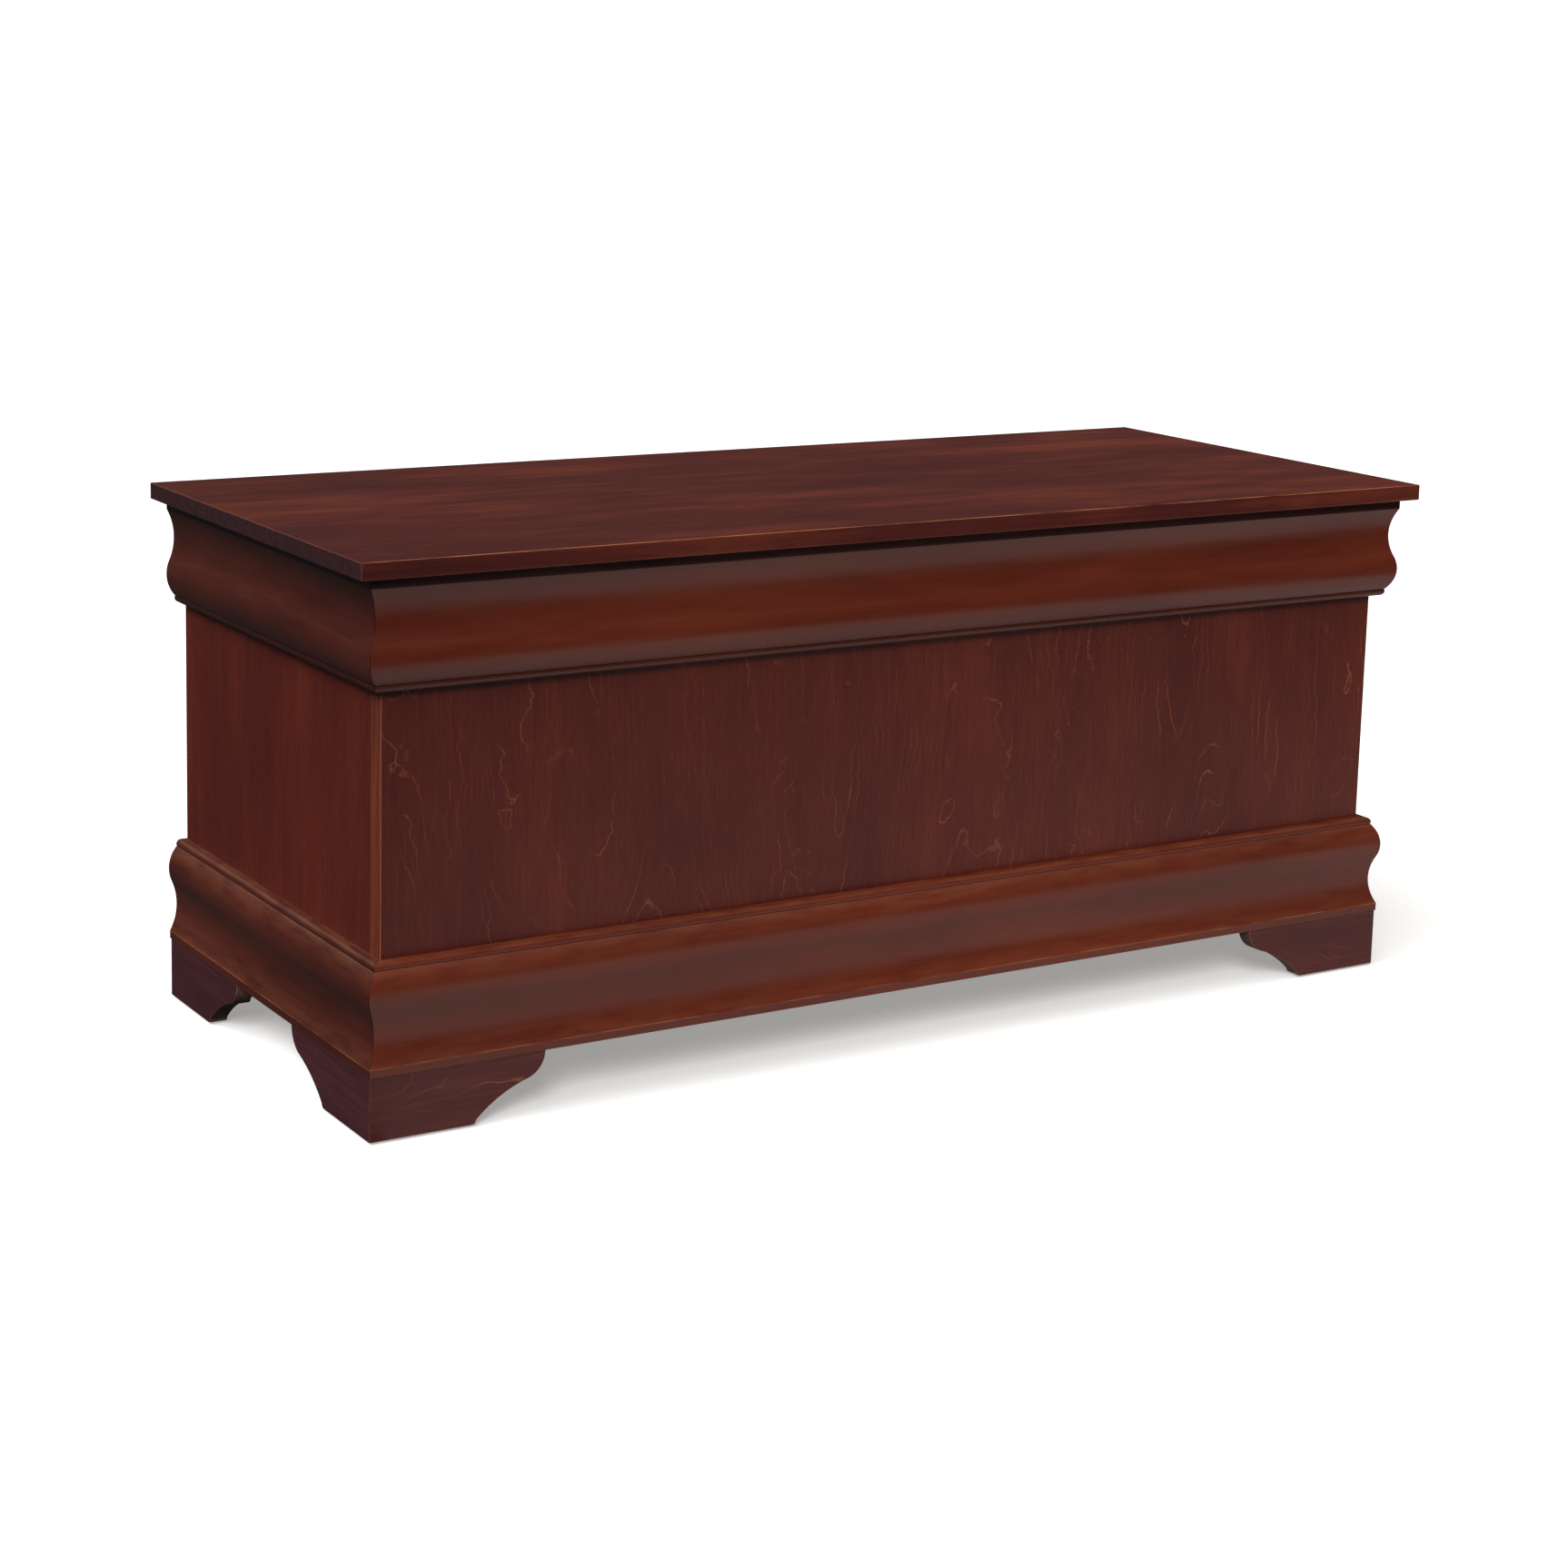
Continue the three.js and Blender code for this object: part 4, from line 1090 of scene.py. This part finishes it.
def draw_foot(bm, sizes, height, reach, toe):
    """Draws a foot's plate from its corner edge outwards: flat, toe, hollow and lobe."""
    lobe = Vector((reach - sizes.lobe_radius, height))
    tip = Vector((toe, sizes.toe_radius))
    apart = sizes.hollow_radius + sizes.lobe_radius
    span = (lobe - tip).length
    unit = (lobe - tip) / span
    along = (sizes.hollow_radius ** 2 - apart ** 2 + span ** 2) / (2 * span)
    off = math.sqrt(sizes.hollow_radius ** 2 - along ** 2)
    hollow = Vector((tip.x + along * unit.x + off * unit.y, tip.y + along * unit.y - off * unit.x))
    tip_angle = math.atan2(tip.y - hollow.y, tip.x - hollow.x)
    lobe_angle = math.atan2(lobe.y - hollow.y, lobe.x - hollow.x)
    outline = Outline(bm, 0.0, 0.0)
    outline.line(toe - sizes.toe_radius, 0.0)
    outline.arc(toe - sizes.toe_radius, sizes.toe_radius, math.pi / 2, 8)
    outline.arc(hollow.x, hollow.y, lobe_angle - tip_angle, 18)
    outline.arc(lobe.x, lobe.y, math.pi - lobe_angle, 14)
    outline.line(0.0, height)
    outline.fill()


def foot_edges(bm, height, mitred):
    """A plate's edges to ease: those of its outline below the moulding, and its corner edge."""
    edges = sharp_edges(bm)
    corner = [e for e in edges if runs(e, Y) and middle(e).z < MM and middle(e).x < MM]
    outline = [e for e in edges if e not in corner and not runs(e, Z)
               and middle(e).y < height - MM and (mitred or middle(e).x > MM)]
    return outline + corner


def rub_corner(bm, wear):
    """Hands and feet rub a mitred corner more than other edges; inside the mitre nothing does."""
    layer = bm.faces.layers.float["wear"]
    for face in bm.faces:
        if face.calc_center_median().x < 1.2 * MM and abs(face.normal.x) > 0.2:
            face[layer] = wear.foot_corner if face[layer] else 0.0


class CHEST_OT_feet(Operator):
    """Make the four bracket feet with their blocks and glides"""
    bl_idname = "chest.feet"
    bl_label = "Feet"

    def plate(self, scene, node, reach, toe, corner, along, inward, mitred):
        """One plate: along points from its corner edge, inward through its thickness."""
        sizes, wear, colours = scene.chest_feet, scene.chest_wear, scene.chest_colours
        low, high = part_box(node)
        height = high.z - low.z
        bm = new_mesh()
        draw_foot(bm, sizes, height, reach, toe)
        extrude(bm, 0.0, abs((high - low).dot(inward)))
        if mitred:
            cut(bm, (scene.chest_boards.joint_gap, 0, 0), (-1, 0, 1))
        edges = foot_edges(bm, height, mitred)
        for face in bm.faces:
            if abs(face.normal.z) < 0.3 and face.calc_center_median().x > MM:
                face.material_index = 1
        ease(bm, edges, sizes.arris, wear.foot_edges, 2)
        if mitred:
            rub_corner(bm, wear)
        stand(bm, along, Vector((0, 0, 1)), inward, corner)
        wood = foot_wood(colours, X if abs(along.x) > 0.5 else Y)
        finish_piece(bm, f"{node}_cut", node, [wood, sawn_edge(colours)], [node])

    def front_foot(self, scene, foot, sign):
        """A front and a side plate, mitred at the corner."""
        side, ahead = f"{foot}_side_plate", f"{foot}_front_plate"
        low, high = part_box(side)
        corner = Vector((low.x if sign < 0 else high.x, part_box(ahead)[0].y, low.z))
        reach, toe = high.y - corner.y, scene.chest_feet.toe
        across, back = Vector((-sign, 0, 0)), Vector((0, 1, 0))
        self.plate(scene, side, reach, toe, corner, back, across, True)
        self.plate(scene, ahead, reach, toe, corner, across, back, True)

    def back_foot(self, scene, foot, sign):
        """A side plate, and a back plate that butts against its inside."""
        side, behind = f"{foot}_side_plate", f"{foot}_back_plate"
        low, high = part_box(side)
        corner = Vector((low.x if sign < 0 else high.x, high.y, low.z))
        reach, toe, thickness = high.y - low.y, scene.chest_feet.toe, high.x - low.x
        across, ahead = Vector((-sign, 0, 0)), Vector((0, -1, 0))
        self.plate(scene, side, reach, toe, corner, ahead, across, False)
        butt = corner + across * (thickness + scene.chest_boards.joint_gap)
        self.plate(scene, behind, reach - thickness, toe - thickness, butt, across, ahead, False)

    def execute(self, context):
        scene = context.scene
        fittings, colours = scene.chest_fittings, scene.chest_colours
        for side, sign in SIDES:
            for end, plates in (("front", self.front_foot), ("back", self.back_foot)):
                foot = f"foot_{end}_{side}"
                plates(scene, foot, sign)
                board(f"{foot}_block", inner_wood(colours, Z), scene.chest_boards.block_arris,
                      scene.chest_wear.inner_edges)
                button(f"{foot}_glide_button", f"{foot}_glide", fittings.glide_round,
                       fittings.pad_arris, nylon(colours))
        return {"FINISHED"}


class CHEST_OT_hinges(Operator):
    """Make the three hinges with their pins and screws, and the bumpers the lid closes on"""
    bl_idname = "chest.hinges"
    bl_label = "Hinges and bumpers"

    def pin(self, scene, node):
        """A hinge pin with rounded ends."""
        low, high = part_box(node)
        centre = (low + high) / 2
        radius = high.z - centre.z
        rim = radius * scene.chest_fittings.pin_round
        profile = rounded(radius, low.x, high.x, rim, rim)
        bm = new_mesh()
        turned(bm, profile, (0.0, centre.y, centre.z), (1, 0, 0), 24)
        finish_piece(bm, f"{node}_rod", node, [brass(scene.chest_colours)], [node])

    def leaf(self, scene, hinge, half):
        """A leaf with its knuckles, and the three screws in its flat."""
        fittings, metal = scene.chest_fittings, brass(scene.chest_colours)
        node = f"{hinge}_{half}_leaf"
        eased_copy(node, metal, fittings.metal_arris)
        low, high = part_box(node)
        pin_low, pin_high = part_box(f"{hinge}_pin")
        point = (pin_low + pin_high) / 2
        depth = fittings.leaf_thickness - fittings.leaf_sink
        if half == "case":
            outward = (0, 1, 0)
            point.y = low.y + depth
            point.z = (low.z + point.z - fittings.leaf_flat) / 2
        else:
            outward = (0, 0, -1)
            point.y = (low.y + point.y - fittings.leaf_flat) / 2
            point.z = high.z - depth
        points = in_row(point, X, (high.x - low.x) / 3, (-1, 0, 1))
        screws(f"{hinge}_{half}_screws", node, points, outward, fittings.screw_radius,
               fittings, metal)

    def execute(self, context):
        scene = context.scene
        fittings, colours = scene.chest_fittings, scene.chest_colours
        for name in ("left", "centre", "right"):
            self.pin(scene, f"hinge_{name}_pin")
            for half in ("case", "lid"):
                self.leaf(scene, f"hinge_{name}", half)
        for side, _ in SIDES:
            node = f"lid_bumper_{side}"
            button(f"{node}_pad", node, fittings.pad_arris, fittings.bumper_round, rubber(colours))
        return {"FINISHED"}


class CHEST_OT_stays(Operator):
    """Make the pair of slotted lid stays with their brackets, studs, rivets and screws"""
    bl_idname = "chest.stays"
    bl_label = "Lid stays"

    def bracket_screws(self, node, sign, fittings, metal):
        """Two screws through the bracket's flange into the lid."""
        low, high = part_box(node)
        point, size = (low + high) / 2, high - low
        point.x += sign * size.x * (fittings.bracket_line - 0.5)
        point.z = high.z - fittings.bracket_thickness - fittings.bracket_proud
        points = in_row(point, Y, size.y * fittings.bracket_spread, (-1, 1))
        screws(f"{node}_screws", node, points, (0, 0, -1), fittings.bracket_screw_radius,
               fittings, metal)

    def stud_screws(self, node, sign, fittings, metal):
        """Two screws through the stud's plate into the case side, where its round ends start."""
        low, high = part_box(node)
        point, size = (low + high) / 2, high - low
        point.x += sign * (size.x / 2 - fittings.plate_thickness + fittings.plate_sink)
        points = in_row(point, Y, (size.y - size.z) / 2, (-1, 1))
        screws(f"{node}_screws", node, points, (-sign, 0, 0), fittings.screw_radius,
               fittings, metal)

    def execute(self, context):
        scene = context.scene
        fittings, metal = scene.chest_fittings, steel(scene.chest_colours)
        for side, sign in SIDES:
            for part in ("arm", "bracket", "stud", "rivet"):
                eased_copy(f"stay_{part}_{side}", metal, fittings.metal_arris)
            self.bracket_screws(f"stay_bracket_{side}", sign, fittings, metal)
            self.stud_screws(f"stay_stud_{side}", sign, fittings, metal)
        return {"FINISHED"}


class CHEST_OT_studio(Operator):
    """Make the pale floor, the soft lights and the camera"""
    bl_idname = "chest.studio"
    bl_label = "Studio"

    def floor(self, scene, studio):
        """The endless floor, which only the camera sees, and the card that lights the chest."""
        colours = scene.chest_colours
        floor = disc("studio_floor", studio.floor_radius, (0, 0, 0),
                     painted(colours.floor, studio.glow))
        floor.visible_diffuse = False
        floor.visible_glossy = False
        floor.visible_shadow = False
        # The card lies in front and to the right, so the left side reflects none of it.
        centre = (studio.card_radius - CASE_HALF_WIDTH, CASE_FRONT, -MM)
        card = disc("bounce_card", studio.card_radius, centre, painted(colours.card, 0.0))
        card.visible_camera = False

    def light(self, scene, name, azimuth, height, spread, strength):
        """A far light: azimuth is how far it stands to the left of the front."""
        data = bpy.data.lights.new(name, "SUN")
        data.energy = strength
        data.angle = spread
        light = bpy.data.objects.new(name, data)
        source = Vector((-math.sin(azimuth) * math.cos(height),
                         -math.cos(azimuth) * math.cos(height), math.sin(height)))
        light.rotation_euler = source.to_track_quat("Z", "Y").to_euler()
        scene.collection.objects.link(light)

    def world(self, scene, studio):
        """Dark walls below a bright ceiling light the chest; the camera sees a white backdrop."""
        world = bpy.data.worlds.new("studio")
        world.use_nodes = True
        tree = world.node_tree
        direction = add(tree, "ShaderNodeTexCoord").outputs["Generated"]
        upward_painted_light = add(tree, "ShaderNodeSeparateXYZ", inputs={0: direction}).outputs["Z"]
        brightness = add(tree, "ShaderNodeMapRange", inputs={
            "Value": upward_painted_light, "From Min": studio.wall_top, "From Max": studio.ceiling_edge,
            "To Min": studio.room, "To Max": studio.ceiling,
        })
        white = (1.0, 1.0, 1.0, 1.0)
        room = add(tree, "ShaderNodeBackground", inputs={
            "Color": white, "Strength": brightness.outputs["Result"],
        })
        backdrop = add(tree, "ShaderNodeBackground", inputs={"Color": white, "Strength": 1.0})
        ray = add(tree, "ShaderNodeLightPath")
        seen = add(tree, "ShaderNodeMixShader", inputs={
            0: ray.outputs["Is Camera Ray"], 1: room.outputs[0], 2: backdrop.outputs[0],
        })
        tree.links.new(seen.outputs[0], tree.nodes["World Output"].inputs["Surface"])
        scene.world = world
        scene.view_settings.view_transform = "Standard"

    def camera(self, scene, studio):
        """The camera, turned from straight down to its heading, dip and roll."""
        data = bpy.data.cameras.new("camera")
        data.lens = studio.lens
        data.shift_y = -studio.shift
        camera = bpy.data.objects.new("camera", data)
        scene.collection.objects.link(camera)
        heading = Matrix.Rotation(-studio.heading, 4, "Z")
        dip = Matrix.Rotation(math.pi / 2 - studio.dip, 4, "X")
        roll = Matrix.Rotation(studio.roll, 4, "Z")
        camera.matrix_world = Matrix.Translation(studio.place) @ heading @ dip @ roll
        scene.camera = camera

    def execute(self, context):
        scene = context.scene
        studio = scene.chest_studio
        self.floor(scene, studio)
        self.light(scene, "key", studio.key_azimuth, studio.key_height, studio.key_spread,
                   studio.key_strength)
        self.light(scene, "side", studio.side_azimuth, studio.side_height, studio.soft_spread,
                   studio.side_strength)
        self.light(scene, "back", studio.back_azimuth, studio.side_height, studio.soft_spread,
                   studio.back_strength)
        self.world(scene, studio)
        self.camera(scene, studio)
        return {"FINISHED"}


class CHEST_PT_build(Panel):
    """Lists the steps that build the chest"""
    bl_label = "Chest"
    bl_idname = "CHEST_PT_build"
    bl_space_type = "VIEW_3D"
    bl_region_type = "UI"
    bl_category = "Chest"

    def draw(self, context):
        for step in STEPS:
            self.layout.operator(step.bl_idname)


STEPS = (
    CHEST_OT_studio, CHEST_OT_lid, CHEST_OT_case, CHEST_OT_inside, CHEST_OT_mouldings,
    CHEST_OT_feet, CHEST_OT_hinges, CHEST_OT_stays,
)
GROUPS = {
    "chest_boards": ChestBoardSizes,
    "chest_moulding": ChestMouldingSizes,
    "chest_feet": ChestFootSizes,
    "chest_fittings": ChestFittingSizes,
    "chest_wear": ChestWearAndPaintedLight,
    "chest_colours": ChestColours,
    "chest_studio": ChestStudio,
}


def register():
    """Registers the sizes, the steps and the panel."""
    for name, group in GROUPS.items():
        bpy.utils.register_class(group)
        setattr(bpy.types.Scene, name, PointerProperty(type=group))
    for step in (*STEPS, CHEST_PT_build):
        bpy.utils.register_class(step)


def unregister():
    """Takes away what register made."""
    for step in (CHEST_PT_build, *reversed(STEPS)):
        bpy.utils.unregister_class(step)
    for name, group in reversed(GROUPS.items()):
        delattr(bpy.types.Scene, name)
        bpy.utils.unregister_class(group)


def main():
    """Builds the chest step by step."""
    register()
    for step in STEPS:
        getattr(bpy.ops.chest, step.bl_idname.split(".")[1])()


if __name__ == "__main__":
    main()
